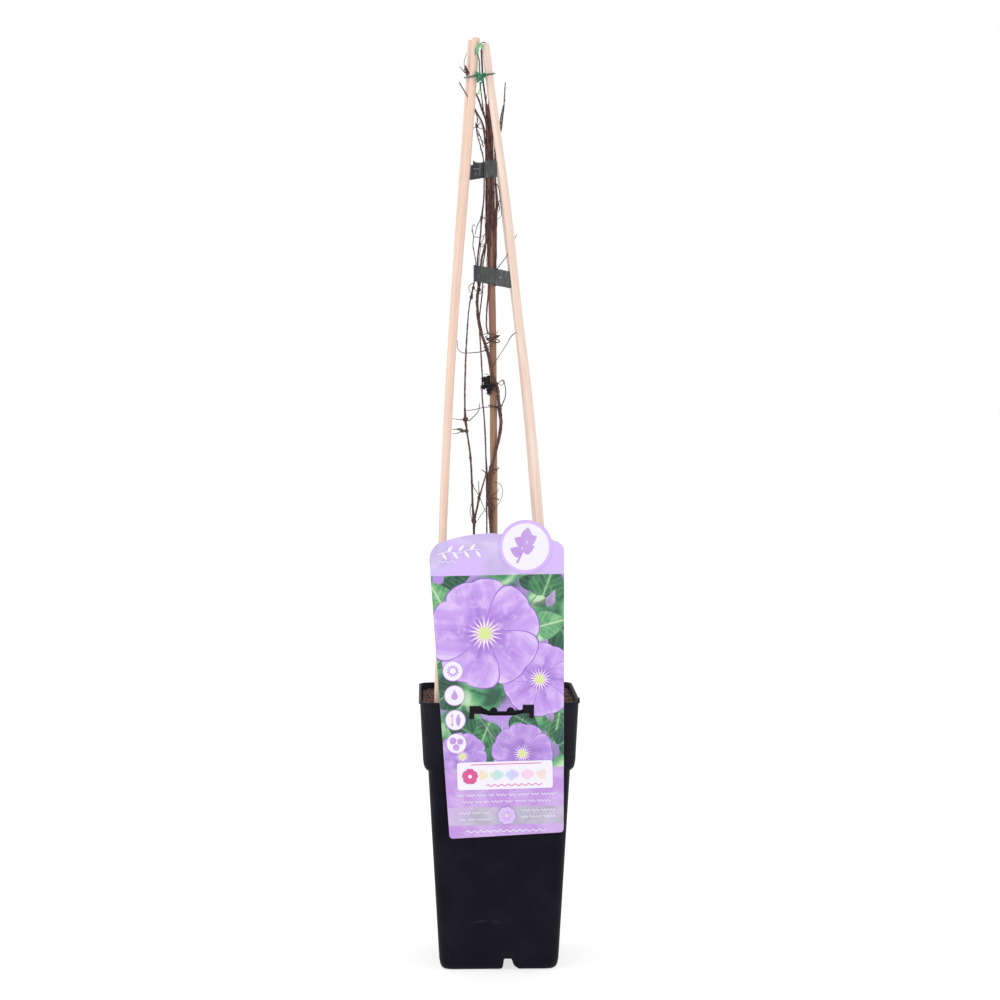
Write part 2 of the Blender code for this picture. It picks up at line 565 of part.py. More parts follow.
def build_tie(surface):
    """The green wire: a loop round all four sticks, a knot, and an end hooked over the top."""
    lines = [(points, STICK_RADIUS) for points in STICK_LINES.values()]
    middle = TIE_HEIGHT + TIE_TILT * 14.7
    rings = []
    for number, out in taut_loop(lines, middle, TIE_TILT):
        level = touch(lines[number], out, middle, TIE_TILT, 0, TIE_WIRE)
        rise = TIE_BACK_RISE * (level.y + 14)
        centre = touch(lines[number], out, middle, TIE_TILT, rise, TIE_WIRE)
        angles = [math.tau * k / 6 for k in range(6)]
        rings.append([centre + TIE_WIRE * (math.cos(a) * out + math.sin(a) * Vector((0, 0, 1)))
                      for a in angles])
    shape = bmesh.new()
    add_loft(shape, rings, closed=True)
    tie = add_object("wire_tie", shape, surface)

    knot = bmesh.new()
    bmesh.ops.create_icosphere(knot, subdivisions=2, radius=1)
    bmesh.ops.scale(knot, vec=(3.9, 1.9, 4.2), verts=knot.verts)
    bmesh.ops.translate(knot, vec=(-14.3, -15, 725.6), verts=knot.verts)
    combine(tie, add_object("join_knot", knot), "UNION")
    for name, (points, radii) in TIE_STRANDS.items():
        strand = bmesh.new()
        add_tube(strand, smooth_line(points, 2.5), radii, 6)
        combine(tie, add_object(name, strand), "UNION")


def build_stem(name, points, radii, shoots, surface, step=10.0, sides=7):
    """A stem, with the side shoots and stalks that grow from it."""
    shape = bmesh.new()
    add_tube(shape, smooth_line(points, step), radii, sides)
    stem = add_object(name, shape, surface, smooth=60)
    for i, (shoot, shoot_radii) in enumerate(shoots):
        side = bmesh.new()
        add_tube(side, smooth_line(shoot, step * 0.7), shoot_radii, 5)
        combine(stem, add_object(f"join_{name}_{i + 1}", side), "UNION")


def build_stems(surface):
    """The dormant shoots, from the soil to the top of the sticks."""
    knot = [Vector((-2.1, -5, 477))] + curl_round_cane(477, 468, -60, 1.4, CANE_RADIUS + 1)
    ring = list(reversed(curl_round_cane(518, 512, 205, -1.2, CANE_RADIUS + 1.3)))
    build_stem("main_stem", MAIN_STEM, (2.1, 0.65), [
        (SIDE_SHOOT, (0.75, 0.45)), (LADDER_TWIG, (0.45, 0.35)), (knot, (0.6, 0.4)),
        (CROSSING_STALK, (0.4, 0.35)), (RIGHT_LOOP, (0.5, 0.35)), (LONG_STALK, (0.45, 0.35)),
        (REACHING_STALK, (0.4, 0.35)), (TOP_TWIG, (0.5, 0.35))], surface)
    build_stem("inner_stem", INNER_STEM, (0.95, 0.6), [(SPIKE, (0.55, 0.3))], surface)
    build_stem("left_stem", LEFT_STEM, (1.5, 0.45), [
        (LEFT_FORK, (0.9, 0.6)), (BUD_STALK, (0.9, 0.5)), (LEFT_STALK, (0.45, 0.35)),
        (CLIMBING_STALK, (0.45, 0.35))], surface)
    build_stem("cane_stem", ring + CANE_STEM, (0.6, 0.85), [], surface, step=6.0)
    build_stem("right_stem", RIGHT_STEM, (0.9, 0.6), [
        (HANGING_TWIG, (0.45, 0.35)), (TAPE_TWIG, (0.45, 0.35))], surface)


def main():
    """Build every piece of the potted climber."""
    clear_scene()
    black_plastic = material("black_plastic", (0.016, 0.016, 0.021), 0.5)
    soil = material("soil", (0.035, 0.018, 0.014), 0.95)
    pale_wood = material("pale_wood", (0.79, 0.58, 0.44), 0.6)
    cane_wood = material("cane_wood", (0.26, 0.15, 0.09), 0.55)
    bark = material("bark", (0.055, 0.025, 0.025), 0.8)
    print_card = material("printed_card", (0.5, 0.32, 0.72), 0.35)
    tape_plastic = material("tape_plastic", (0.05, 0.06, 0.055), 0.4)
    tie_plastic = material("tie_plastic", (0.035, 0.23, 0.11), 0.5)
    steel = material("staple_steel", (0.6, 0.6, 0.62), 0.3, 1.0)

    build_pot(black_plastic)
    buried = [(points, STICK_RADIUS, 12) for points in STICK_LINES.values()]
    buried += [(CANE_LINE, CANE_RADIUS, 12), (MAIN_STEM, 2.1, 8), (INNER_STEM, 0.95, 8),
               (LEFT_STEM, 1.5, 8)]
    build_soil(soil, buried)
    build_sticks(pale_wood, cane_wood)
    build_card(print_card)
    build_stems(bark)

    build_tapes(tape_plastic, steel)
    build_tie(tie_plastic)


main()
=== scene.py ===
"""Looks of a dormant clematis in a square nursery pot, tied to four leaning sticks and a cane.

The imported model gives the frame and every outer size. Lengths here are in millimetres, with the
floor at z = 0 and the label facing -Y, and they turn into metres where a mesh is made.
"""
import logging
import random
from abc import ABC, abstractmethod
from contextlib import contextmanager
from dataclasses import dataclass
from enum import Enum
from functools import cache
from math import atan2, copysign, cos, hypot, pi, radians, sin, tau
from typing import Any, Callable, Iterable, Iterator, Sequence

import bpy
from mathutils import Matrix, Vector, noise


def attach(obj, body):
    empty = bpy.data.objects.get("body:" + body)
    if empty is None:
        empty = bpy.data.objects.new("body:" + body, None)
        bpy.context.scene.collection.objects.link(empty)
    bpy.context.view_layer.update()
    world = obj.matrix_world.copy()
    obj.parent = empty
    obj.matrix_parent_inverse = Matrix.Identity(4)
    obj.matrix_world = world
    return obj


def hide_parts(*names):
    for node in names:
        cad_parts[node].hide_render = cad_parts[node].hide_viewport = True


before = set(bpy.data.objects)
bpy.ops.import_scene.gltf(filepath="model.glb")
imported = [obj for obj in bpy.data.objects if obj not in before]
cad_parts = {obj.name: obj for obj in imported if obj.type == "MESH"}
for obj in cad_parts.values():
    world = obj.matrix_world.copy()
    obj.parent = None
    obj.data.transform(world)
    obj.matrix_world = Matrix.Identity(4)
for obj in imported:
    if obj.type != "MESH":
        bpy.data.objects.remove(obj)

MM = 0.001
CARD_FRONT = -66.25
MERGE_GAP = 0.001

Point = tuple[float, float, float]
Flat = tuple[float, float]
Edges = tuple[float, float, float, float]
Colour = tuple[float, float, float]
Piece = bpy.types.Object
Socket = bpy.types.NodeSocket
Material = bpy.types.Material

log = logging.getLogger("potted_climber")


class Slot(Enum):
    """The record's material slots."""

    POT = "black_plastic"
    SOIL = "soil"
    STICK = "pale_wood"
    CANE = "cane_wood"
    BARK = "bark"
    CARD = "printed_card"
    TAPE = "tape_plastic"
    WIRE = "tie_plastic"


def tint(code: str) -> Colour:
    """Turn a screen colour into the linear one that a shader takes.

    Args:
        code: red, green and blue as a screen shows them, two hexadecimal digits each.

    Returns:
        The same colour in linear light, from 0 to 1.
    """
    def linear(level: int) -> float:
        """One channel."""
        share = level / 255
        return share / 12.92 if share <= 0.04045 else ((share + 0.055) / 1.055) ** 2.4

    red, green, blue = bytes.fromhex(code)
    return linear(red), linear(green), linear(blue)


class Value:
    """A number that varies over a surface. Sums with it add Math nodes."""

    def __init__(self, paint: "Paint", socket: Socket) -> None:
        """Keep the socket and the material that it belongs to."""
        self.paint = paint
        self.socket = socket

    def calculate(self, operation: str, first: Any, second: Any = 0.0) -> "Value":
        """Add one Math node.

        Args:
            operation: the node's operation.
            first, second: values or plain numbers.

        Returns:
            The node's result.
        """
        node = self.paint.add("ShaderNodeMath", {"operation": operation}, {0: first, 1: second})
        return Value(self.paint, node.outputs[0])

    def __add__(self, other: Any) -> "Value":
        """Sum."""
        return self.calculate("ADD", self, other)

    __radd__ = __add__

    def __sub__(self, other: Any) -> "Value":
        """Difference."""
        return self.calculate("SUBTRACT", self, other)

    def __rsub__(self, other: Any) -> "Value":
        """Difference from a number."""
        return self.calculate("SUBTRACT", other, self)

    def __mul__(self, other: Any) -> "Value":
        """Product."""
        return self.calculate("MULTIPLY", self, other)

    def __abs__(self) -> "Value":
        """Size without sign."""
        return self.calculate("ABSOLUTE", self)

    def rise(self, low: float, high: float) -> "Value":
        """A smooth step.

        Args:
            low: where it is still 0.
            high: where it reaches 1, which may be below low.

        Returns:
            The step, from 0 to 1.
        """
        node = self.paint.add(
            "ShaderNodeMapRange", {"interpolation_type": "SMOOTHSTEP"},
            {"Value": self, "From Min": min(low, high), "From Max": max(low, high),
             "To Min": 0.0 if low < high else 1.0, "To Max": 1.0 if low < high else 0.0})
        return Value(self.paint, node.outputs[0])


class Paint:
    """One material while its nodes are put together. Patterns are measured in millimetres."""

    def __init__(self, name: str) -> None:
        """Start from a plain Principled material."""
        self.material = bpy.data.materials.new(name)
        self.material.use_nodes = True
        self.tree = self.material.node_tree
        self.shader = self.tree.nodes["Principled BSDF"]

    def add(self, kind: str, settings: dict[str, Any], sockets: dict[Any, Any]) -> Any:
        """Add a node.

        Args:
            kind: the node's type.
            settings: its properties, set first; stops are a ramp's positions and colours.
            sockets: values or links for its inputs, by name or number.

        Returns:
            The node.
        """
        node = self.tree.nodes.new(kind)
        for key, value in settings.items():
            if key == "stops":
                while len(node.color_ramp.elements) < len(value):
                    node.color_ramp.elements.new(0.5)
                for stop, (place, colour) in zip(node.color_ramp.elements, value):
                    stop.position = place
                    stop.color = (*colour, 1.0)
            else:
                setattr(node, key, value)
        for key, value in sockets.items():
            self.feed(node.inputs[key], value)
        return node

    def feed(self, socket: Socket, value: Any) -> None:
        """Link or set one input.

        Args:
            socket: the input.
            value: a Value, an output socket, a colour, or what the input takes.
        """
        if isinstance(value, Value):
            value = value.socket
        if isinstance(value, Socket):
            self.tree.links.new(value, socket)
        elif socket.type == "RGBA" and len(value) == 3:
            socket.default_value = (*value, 1.0)
        else:
            socket.default_value = value

    def place(self, stretch: Point = (1, 1, 1), own_map: bool = False, shift: Point = (0, 0, 0)) -> Socket:
        """Where a point is on the piece, in millimetres.

        Args:
            stretch: how much finer a pattern is along each axis.
            own_map: take the piece's UV map, across and along it, in place of its space.
            shift: how far the pattern is moved, so that two differ.

        Returns:
            The place as a vector.
        """
        source = self.add("ShaderNodeTexCoord", {}, {}).outputs["UV" if own_map else "Object"]
        scale = tuple(s if own_map else s / MM for s in stretch)
        node = self.add("ShaderNodeMapping", {}, {"Vector": source, "Scale": scale, "Location": shift})
        return node.outputs[0]

    def axis(self, vector: Socket, number: int) -> Value:
        """One part of a vector, by its number."""
        split = self.add("ShaderNodeSeparateXYZ", {}, {0: vector})
        return Value(self, split.outputs[number])

    def cloud(self, vector: Socket, grain: float, detail: float = 3.0, roughness: float = 0.55,
              warp: float = 0.0) -> Value:
        """Soft noise.

        Args:
            vector: the place.
            grain: size of its patches.
            detail: how many finer layers it has.
            roughness: how strong those are.
            warp: how far it is folded.

        Returns:
            The noise, around 0.5.
        """
        node = self.add("ShaderNodeTexNoise", {}, {
            "Vector": vector, "Scale": 1 / grain, "Detail": detail, "Roughness": roughness,
            "Distortion": warp})
        return Value(self, node.outputs["Fac"])

    def cells(self, vector: Socket, grain: float) -> Value:
        """Distance to scattered points about a grain apart."""
        node = self.add("ShaderNodeTexVoronoi", {}, {"Vector": vector, "Scale": 1 / grain})
        return Value(self, node.outputs["Distance"])

    def ramp(self, value: Value, stops: Sequence[tuple[float, Colour]]) -> Socket:
        """Colours along a value."""
        return self.add("ShaderNodeValToRGB", {"stops": stops}, {0: value}).outputs[0]

    def mix(self, share: Any, base: Any, top: Any) -> Socket:
        """Lay one colour over another.

        Args:
            share: how much of the top colour shows.
            base, top: colours or colour sockets.

        Returns:
            The mixed colour.
        """
        node = self.add("ShaderNodeMix", {"data_type": "RGBA"}, {0: share, 6: base, 7: top})
        return node.outputs[2]

    def finish(self, colour: Any, roughness: Any, height: Value | None = None, depth: float = 0.1,
               **plain: Any) -> None:
        """Set the shader.

        Args:
            colour: base colour.
            roughness: a number or a Value.
            height: relief from 0 to 1, if there is any.
            depth: how many millimetres the relief rises.
            plain: other inputs that are the same all over, with _ for a space.
        """
        self.feed(self.shader.inputs["Base Color"], colour)
        self.feed(self.shader.inputs["Roughness"], roughness)
        for key, value in plain.items():
            self.feed(self.shader.inputs[key.replace("_", " ")], value)
        if height is not None:
            bump = self.add("ShaderNodeBump", {}, {"Height": height, "Distance": depth * MM})
            self.feed(self.shader.inputs["Normal"], bump.outputs[0])


class Finish(ABC):
    """How one surface of the plant, its pot or its supports looks."""

    name: str

    @abstractmethod
    def coat(self, paint: Paint) -> None:
        """Set the nodes."""


@cache
def material_of(finish: Finish) -> Material:
    """The one material of a finish, made at its first use."""
    paint = Paint(finish.name)
    finish.coat(paint)
    return paint.material


@dataclass(frozen=True)
class MouldedPlastic(Finish):
    """Black plastic of the pot, satin, with drag marks, a dusty film and a few scuffs near its foot; its
    upper wall is painted paler, as painted light from above.
    """

    name = "pot_plastic"
    black: Colour = tint("0b0a14")
    # Grey of the dusty film and the scuffs, also laid on the upper wall as painted light.
    dust_and_top_light: Colour = tint("54525c")
    scuff_height: float = 34.0
    rub: Flat = (-10.6, 41.0)

    def coat(self, paint: Paint) -> None:
        """Set the nodes."""
        spot = paint.place()
        marks = paint.cloud(paint.place((1, 1, 0.06)), 1.6, 4.0)
        film = paint.cloud(spot, 26.0, 5.0)
        low = paint.axis(spot, 2).rise(self.scuff_height, 6.0)
        scratches = paint.cloud(paint.place((0.12, 1, 1.6)), 1.4, 2.0, warp=1.2).rise(0.66, 0.72)
        specks = paint.cells(spot, 9.0).rise(0.085, 0.05)
        wear = (scratches * low * 0.5 + specks * low * 0.8) * film.rise(0.42, 0.62)
        # Painted light: the wall grows paler from 150 to 190 mm up, as if lit from above; the random film
        # patches are a dusty film.
        high = paint.axis(spot, 2).rise(150, 190)
        colour = paint.mix(film.rise(0.35, 0.8) * 0.05 + high * 0.06, self.black, self.dust_and_top_light)
        x, z = paint.axis(spot, 0), paint.axis(spot, 2)
        bow = (x - self.rub[0]) * (x - self.rub[0]) * 0.012
        rub = (abs(z + bow - self.rub[1]).rise(0.5, 0.1) * abs(x - self.rub[0]).rise(14, 8)
               * paint.axis(spot, 1).rise(0, -40) * marks.rise(0.4, 0.6))
        wear = wear + rub * 0.7
        colour = paint.mix(wear * 0.6, colour, self.dust_and_top_light)
        roughness = 0.36 + film * 0.16 + marks * 0.08 + wear * 0.2
        height = marks * 0.4 + paint.cloud(spot, 0.5, 2.0) * 0.5
        paint.finish(colour, roughness, height, 0.05, Specular_IOR_Level=0.08)


@dataclass(frozen=True)
class PottingMix(Finish):
    """Moist bark and coir."""

    dark: Colour = tint("261818")
    brown: Colour = tint("5c3c36")
    pale: Colour = tint("967668")
    name: str = "potting_mix"
    grain: float = 2.2

    def coat(self, paint: Paint) -> None:
        """Set the nodes."""
        spot = paint.place()
        crumbs = paint.cells(spot, self.grain)
        shade = paint.cloud(spot, self.grain * 1.5, 6.0, 0.65)
        strands = paint.cloud(paint.place((0.5, 1.6, 1)), self.grain * 0.5, 3.0, warp=2.0)
        colour = paint.ramp(shade, [(0.3, self.dark), (0.56, self.brown), (0.8, self.pale)])
        colour = paint.mix(crumbs.rise(0.25, 0.8) * 0.65, colour, self.dark)
        colour = paint.mix(strands.rise(0.62, 0.7) * 0.4, colour, self.pale)
        paint.finish(colour, 0.78 + shade * 0.18, 1 - crumbs + shade * 0.6, 0.9)


@dataclass(frozen=True)
class GrainedWood(Finish):
    """Wood with its grain along the piece's own map, and another colour from a height on."""

    name: str
    light: Colour
    dark: Colour
    streak: Colour
    streak_share: float = 0.45
    roughness: float = 0.55
    grain: float = 0.55
    relief: float = 0.06
    crown: Colour = (0.0, 0.0, 0.0)
    crown_from: float = 1e6

    def coat(self, paint: Paint) -> None:
        """Set the nodes."""
        along = paint.place((1, 0.028, 1), own_map=True)
        rings = paint.cloud(along, self.grain * 3.2, 2.0, warp=0.4)
        fibres = paint.cloud(along, self.grain * 0.45, 3.0, 0.6)
        flecks = paint.cloud(paint.place((1, 0.12, 1), own_map=True), self.grain * 0.6, 2.0)
        patches = paint.cloud(paint.place(), 34.0, 3.0)
        colour = paint.mix(rings.rise(0.36, 0.66), self.light, self.dark)
        colour = paint.mix(fibres.rise(0.52, 0.74) * self.streak_share, colour, self.streak)
        colour = paint.mix(flecks.rise(0.66, 0.74) * 0.5, colour, self.streak)
        colour = paint.mix(patches.rise(0.4, 0.7) * 0.3, colour, self.dark)
        if self.crown_from < 1e6:
            high = paint.axis(paint.place(), 2).rise(self.crown_from, self.crown_from + 70)
            colour = paint.mix(high * (0.4 + fibres * 0.5), colour, self.crown)
        paint.finish(colour, self.roughness + fibres * 0.16, fibres + rings * 0.5, self.relief)


@dataclass(frozen=True)
class Bark(Finish):
    """Dry bark that frays along the stem, or the skin of a thin dried stalk."""

    name: str
    dark: Colour
    mid: Colour
    light: Colour
    strand: float = 0.5
    relief: float = 0.35
    own_map: bool = True

    def coat(self, paint: Paint) -> None:
        """Set the nodes."""
        along = paint.place((1, 0.05, 1) if self.own_map else (1, 1, 0.3), self.own_map)
        strands = paint.cloud(along, self.strand, 4.0, 0.65, 0.3)
        blotches = paint.cloud(paint.place(), 7.0, 4.0)
        colour = paint.ramp(strands, [(0.34, self.dark), (0.52, self.mid), (0.72, self.light)])
        colour = paint.mix(blotches.rise(0.45, 0.68) * 0.6, colour, self.dark)
        paint.finish(colour, 0.66 + strands * 0.25, strands + blotches * 0.2, self.relief)


@dataclass(frozen=True)
class SoftTape(Finish):
    """Dull dark tape, bluer at its free end, with creases that catch the light and painted glints in
    upright streaks.
    """

    name = "soft_tape"
    base: Colour = tint("3e443f")
    navy: Colour = tint("222132")
    painted_glint: Colour = tint("7a7c88")
    free_end: float = -13.0

    def coat(self, paint: Paint) -> None:
        """Set the nodes."""
        spot = paint.place()
        sheen = paint.cloud(paint.place((1, 1, 0.14)), 1.7, 3.0, warp=0.6)
        creases = paint.cloud(paint.place((1, 1, 0.45), shift=(5, 0, 2)), 2.4, 3.0, warp=1.6)
        end = paint.axis(spot, 0).rise(self.free_end, self.free_end - 1.5)
        colour = paint.mix(paint.cloud(spot, 7.0, 2.0).rise(0.42, 0.6) * 0.4 + end * 0.5, self.base,
                           self.navy)
        # Painted glints: a pale lilac grey laid on in streaks where the tape would catch the light.
        colour = paint.mix(sheen.rise(0.54, 0.72) * 0.6, colour, self.painted_glint)
        paint.finish(colour, 0.34 + sheen * 0.25, creases + sheen * 0.3, 0.45)


@dataclass(frozen=True)
class CoatedWire(Finish):
    """Green plastic on wire, paler where it is crushed and frayed."""

    name: str
    green: Colour
    pale: Colour
    frayed: float

    def coat(self, paint: Paint) -> None:
        """Set the nodes."""
        worn = paint.cloud(paint.place(), 0.9, 4.0, 0.7)
        share = worn.rise(0.62 - 0.3 * self.frayed, 0.8 - 0.25 * self.frayed)
        colour = paint.mix(share, self.green, self.pale)
        paint.finish(colour, 0.4 + worn * 0.3, worn, 0.08)


@dataclass(frozen=True)
class StapleWire(Finish):
    """Bright wire with a little tarnish."""

    name = "staple_wire"

    def coat(self, paint: Paint) -> None:
        """Set the nodes."""
        tarnish = paint.cloud(paint.place(), 0.6, 3.0)
        colour = paint.mix(tarnish.rise(0.45, 0.7), tint("cdced2"), tint("969496"))
        paint.finish(colour, 0.24 + tarnish * 0.2, tarnish, 0.02, Metallic=1.0)


def clear() -> None:
    """Leave nothing selected and no object in edit mode."""
    if bpy.context.object and bpy.context.object.mode != "OBJECT":
        bpy.ops.object.mode_set(mode="OBJECT")
    bpy.ops.object.select_all(action="DESELECT")


def begin(make: Callable[..., Any], **settings: Any) -> Piece:
    """Add one of Blender's own objects, with nothing else selected."""
    clear()
    make(**settings)
    return bpy.context.object


def pick(pieces: Iterable[Piece]) -> None:
    """Select some pieces only, the first one active."""
    clear()
    for number, piece in enumerate(pieces):
        piece.select_set(True)
        if number == 0:
            bpy.context.view_layer.objects.active = piece


def settle(piece: Piece, name: str) -> Piece:
    """Name a piece and put its place into its mesh."""
    piece.name = name
    piece.data.name = name
    piece.data.transform(piece.matrix_world)
    piece.matrix_world = Matrix.Identity(4)
    return piece


def join(name: str, pieces: list[Piece]) -> Piece:
    """Make several pieces one object that keeps each one's material."""
    pick(pieces)
    bpy.ops.object.join()
    return settle(bpy.context.object, name)


@contextmanager
def edited(piece: Piece) -> Iterator[None]:
    """Work on a piece in edit mode, where all of it is selected at first."""
    pick([piece])
    bpy.ops.object.mode_set(mode="EDIT")
    bpy.ops.mesh.select_all(action="SELECT")
    yield
    bpy.ops.object.mode_set(mode="OBJECT")


def draw_out(rise: float, share: float, squash: float = 1.0, level: float = 0.0) -> None:
    """Extrude what is selected and resize it about the upright axis.

    Args:
        rise: how far up it is drawn.
        share: how wide it becomes, as a share of its width.
        squash: how much of its height is kept, about a level.
        level: that level.
    """
    bpy.ops.mesh.extrude_region_move(TRANSFORM_OT_translate={"value": (0, 0, rise * MM)})
    bpy.ops.transform.resize(value=(share, share, squash), center_override=(0, 0, level * MM))


def tidy(piece: Piece) -> None:
    """Merge doubled corners and turn the faces outwards."""
    with edited(piece):
        bpy.ops.mesh.remove_doubles(threshold=MERGE_GAP * MM)
        bpy.ops.mesh.normals_make_consistent(inside=False)


def smooth(piece: Piece, angle: float) -> None:
    """Shade smooth across edges flatter than an angle in degrees."""
    pick([piece])
    bpy.ops.object.shade_smooth_by_angle(angle=radians(angle), keep_sharp_edges=False)


def modify(piece: Piece, kind: str, **settings: Any) -> None:
    """Add a modifier and apply it."""
    pick([piece])
    step = piece.modifiers.new(kind.lower(), kind)
    for key, value in settings.items():
        setattr(step, key, value)
    bpy.ops.object.modifier_apply(modifier=step.name)


def cut(piece: Piece, other: Piece, way: str = "DIFFERENCE") -> None:
    """Cut one piece with another, or join it on, and remove that other one."""
    modify(piece, "BOOLEAN", operation=way, solver="EXACT", object=other)
    bpy.data.objects.remove(other)


def soften(piece: Piece, width: float, steps: int = 2, angle: float = 35.0) -> None:
    """Round the edges sharper than an angle."""
    modify(piece, "BEVEL", width=width * MM, segments=steps, limit_method="ANGLE",
           angle_limit=radians(angle), harden_normals=False)


def tubes(name: str, routes: Sequence["Route"], sides: int = 6, spans: int = 4,
          ring: bool = False) -> Piece:
    """Round tubes along given lines.

    Args:
        name: the piece's name.
        routes: their centre lines, with radii.
        sides: faces round each tube, an even number from 4.
        spans: steps from one placed point to the next.
        ring: whether each line closes on itself.

    Returns:
        One mesh that holds all the tubes.
    """
    curve = begin(bpy.ops.curve.primitive_bezier_curve_add, location=(0, 0, 0))
    splines = curve.data.splines
    splines.remove(splines[0])
    for route in routes:
        spline = splines.new("BEZIER")
        spline.bezier_points.add(len(route.points) - 1)
        spline.use_cyclic_u = ring
        for knot, point, radius in zip(spline.bezier_points, route.points, route.radii()):
            knot.co = Vector(point) * MM
            knot.handle_left_type = knot.handle_right_type = "AUTO"
            knot.radius = radius
    curve.data.dimensions = "3D"
    curve.data.bevel_depth = MM
    curve.data.bevel_resolution = (sides - 4) // 2
    curve.data.resolution_u = spans
    curve.data.use_fill_caps = not ring
    bpy.ops.object.convert(target="MESH")
    tube = settle(bpy.context.object, name)
    if len(routes) == 1:
        around = tau * sum(routes[0].radii()) / len(routes[0].points)
        for corner in tube.data.uv_layers[0].data:
            corner.uv = (corner.uv[0] * around, corner.uv[1] * routes[0].length())
    tidy(tube)
    smooth(tube, 50.0)
    return tube


def plate(name: str, outline: Sequence[Flat], front: float, thickness: float,
          own_map: Callable[[float, float], Flat] | None = None) -> Piece:
    """A flat shape that stands upright and faces -Y.

    Args:
        name: the piece's name.
        outline: its edge as (x, z) points.
        front: the y of its front face.
        thickness: how thick it is.
        own_map: gives a point's place on the piece's own map.

    Returns:
        The closed plate.
    """
    piece = begin(bpy.ops.mesh.primitive_circle_add, vertices=len(outline), fill_type="NGON")
    for corner, (x, z) in zip(piece.data.vertices, outline):
        corner.co = (x * MM, front * MM, z * MM)
    with edited(piece):
        bpy.ops.mesh.extrude_region_move(TRANSFORM_OT_translate={"value": (0, thickness * MM, 0)})
        bpy.ops.mesh.select_all(action="SELECT")
        bpy.ops.mesh.normals_make_consistent(inside=False)
    if own_map:
        for loop, corner in zip(piece.data.loops, piece.data.uv_layers[0].data):
            spot = piece.data.vertices[loop.vertex_index].co
            corner.uv = own_map(spot.x / MM, spot.z / MM)
    return settle(piece, name)


def copy(piece: Piece, move: Matrix) -> Piece:
    """A copy with a mesh of its own, moved in metres."""
    twin = piece.copy()
    twin.data = piece.data.copy()
    twin.data.transform(move)
    bpy.context.collection.objects.link(twin)
    return twin


def dress(piece: Piece, finish: Finish) -> Piece:
    """Give a whole piece one finish."""
    piece.data.materials.clear()
    piece.data.materials.append(material_of(finish))
    return piece


def fit(piece: Piece, slot: Slot, *stands_for: str) -> None:
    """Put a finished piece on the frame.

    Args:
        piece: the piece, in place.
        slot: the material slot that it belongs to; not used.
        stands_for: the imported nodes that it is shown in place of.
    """
    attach(piece, "root")
    if stands_for:
        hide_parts(*stands_for)
    log.info("%s: %d faces", piece.name, len(piece.data.polygons))


@dataclass(frozen=True)
class Route:
    """A given centre line in millimetres."""

    points: tuple[Point, ...]
    start: float
    end: float
    swellings: tuple[tuple[int, float], ...] = ()

    def radii(self) -> list[float]:
        """The radius at each point, thicker by a factor at the numbered swellings."""
        last = len(self.points) - 1
        sizes = [self.start + (self.end - self.start) * i / last for i in range(last + 1)]
        for number, factor in self.swellings:
            sizes[number] *= factor
        return sizes

    def length(self) -> float:
        """The line's length."""
        return sum((Vector(b) - Vector(a)).length for a, b in zip(self.points, self.points[1:]))

    def at_height(self, z: float) -> Vector:
        """Where the line passes a height."""
        for a, b in zip(self.points, self.points[1:]):
            if a[2] <= z <= b[2]:
                return Vector(a).lerp(Vector(b), (z - a[2]) / (b[2] - a[2]))
        return Vector(self.points[-1])


def arc(centre: Flat, radius: float, start: float, end: float, count: int) -> list[Flat]:
    """Points on a round stretch.

    Args:
        centre: its middle.
        radius: its radius.
        start, end: its angles in degrees.
        count: how many steps it is cut into.

    Returns:
        The points.
    """
    angles = [radians(start + (end - start) * i / count) for i in range(count + 1)]
    return [(centre[0] + radius * cos(a), centre[1] + radius * sin(a)) for a in angles]


def oblong(left: float, right: float, bottom: float, top: float) -> list[Flat]:
    """The corners of an upright rectangle."""
    return [(left, bottom), (right, bottom), (right, top), (left, top)]


def beside(centre: Vector, reach: float, angle: float) -> Point:
    """The place at a distance from a centre, at an angle round the upright axis."""
    return centre.x + reach * cos(angle), centre.y + reach * sin(angle), centre.z


def roughen(piece: Piece, depth: float, grain: float, seed: float = 0.0) -> None:
    """Push a mesh's corners in and out by soft noise.

    Args:
        piece: the mesh.
        depth: how far, at most.
        grain: size of the lumps.
        seed: another number gives other lumps.
    """
    shift = Vector((seed, 2 * seed, 3 * seed))
    for corner in piece.data.vertices:
        lump = noise.fractal(corner.co / (grain * MM) + shift, 0.6, 2.0, 3)
        corner.co += corner.normal * lump * depth * MM


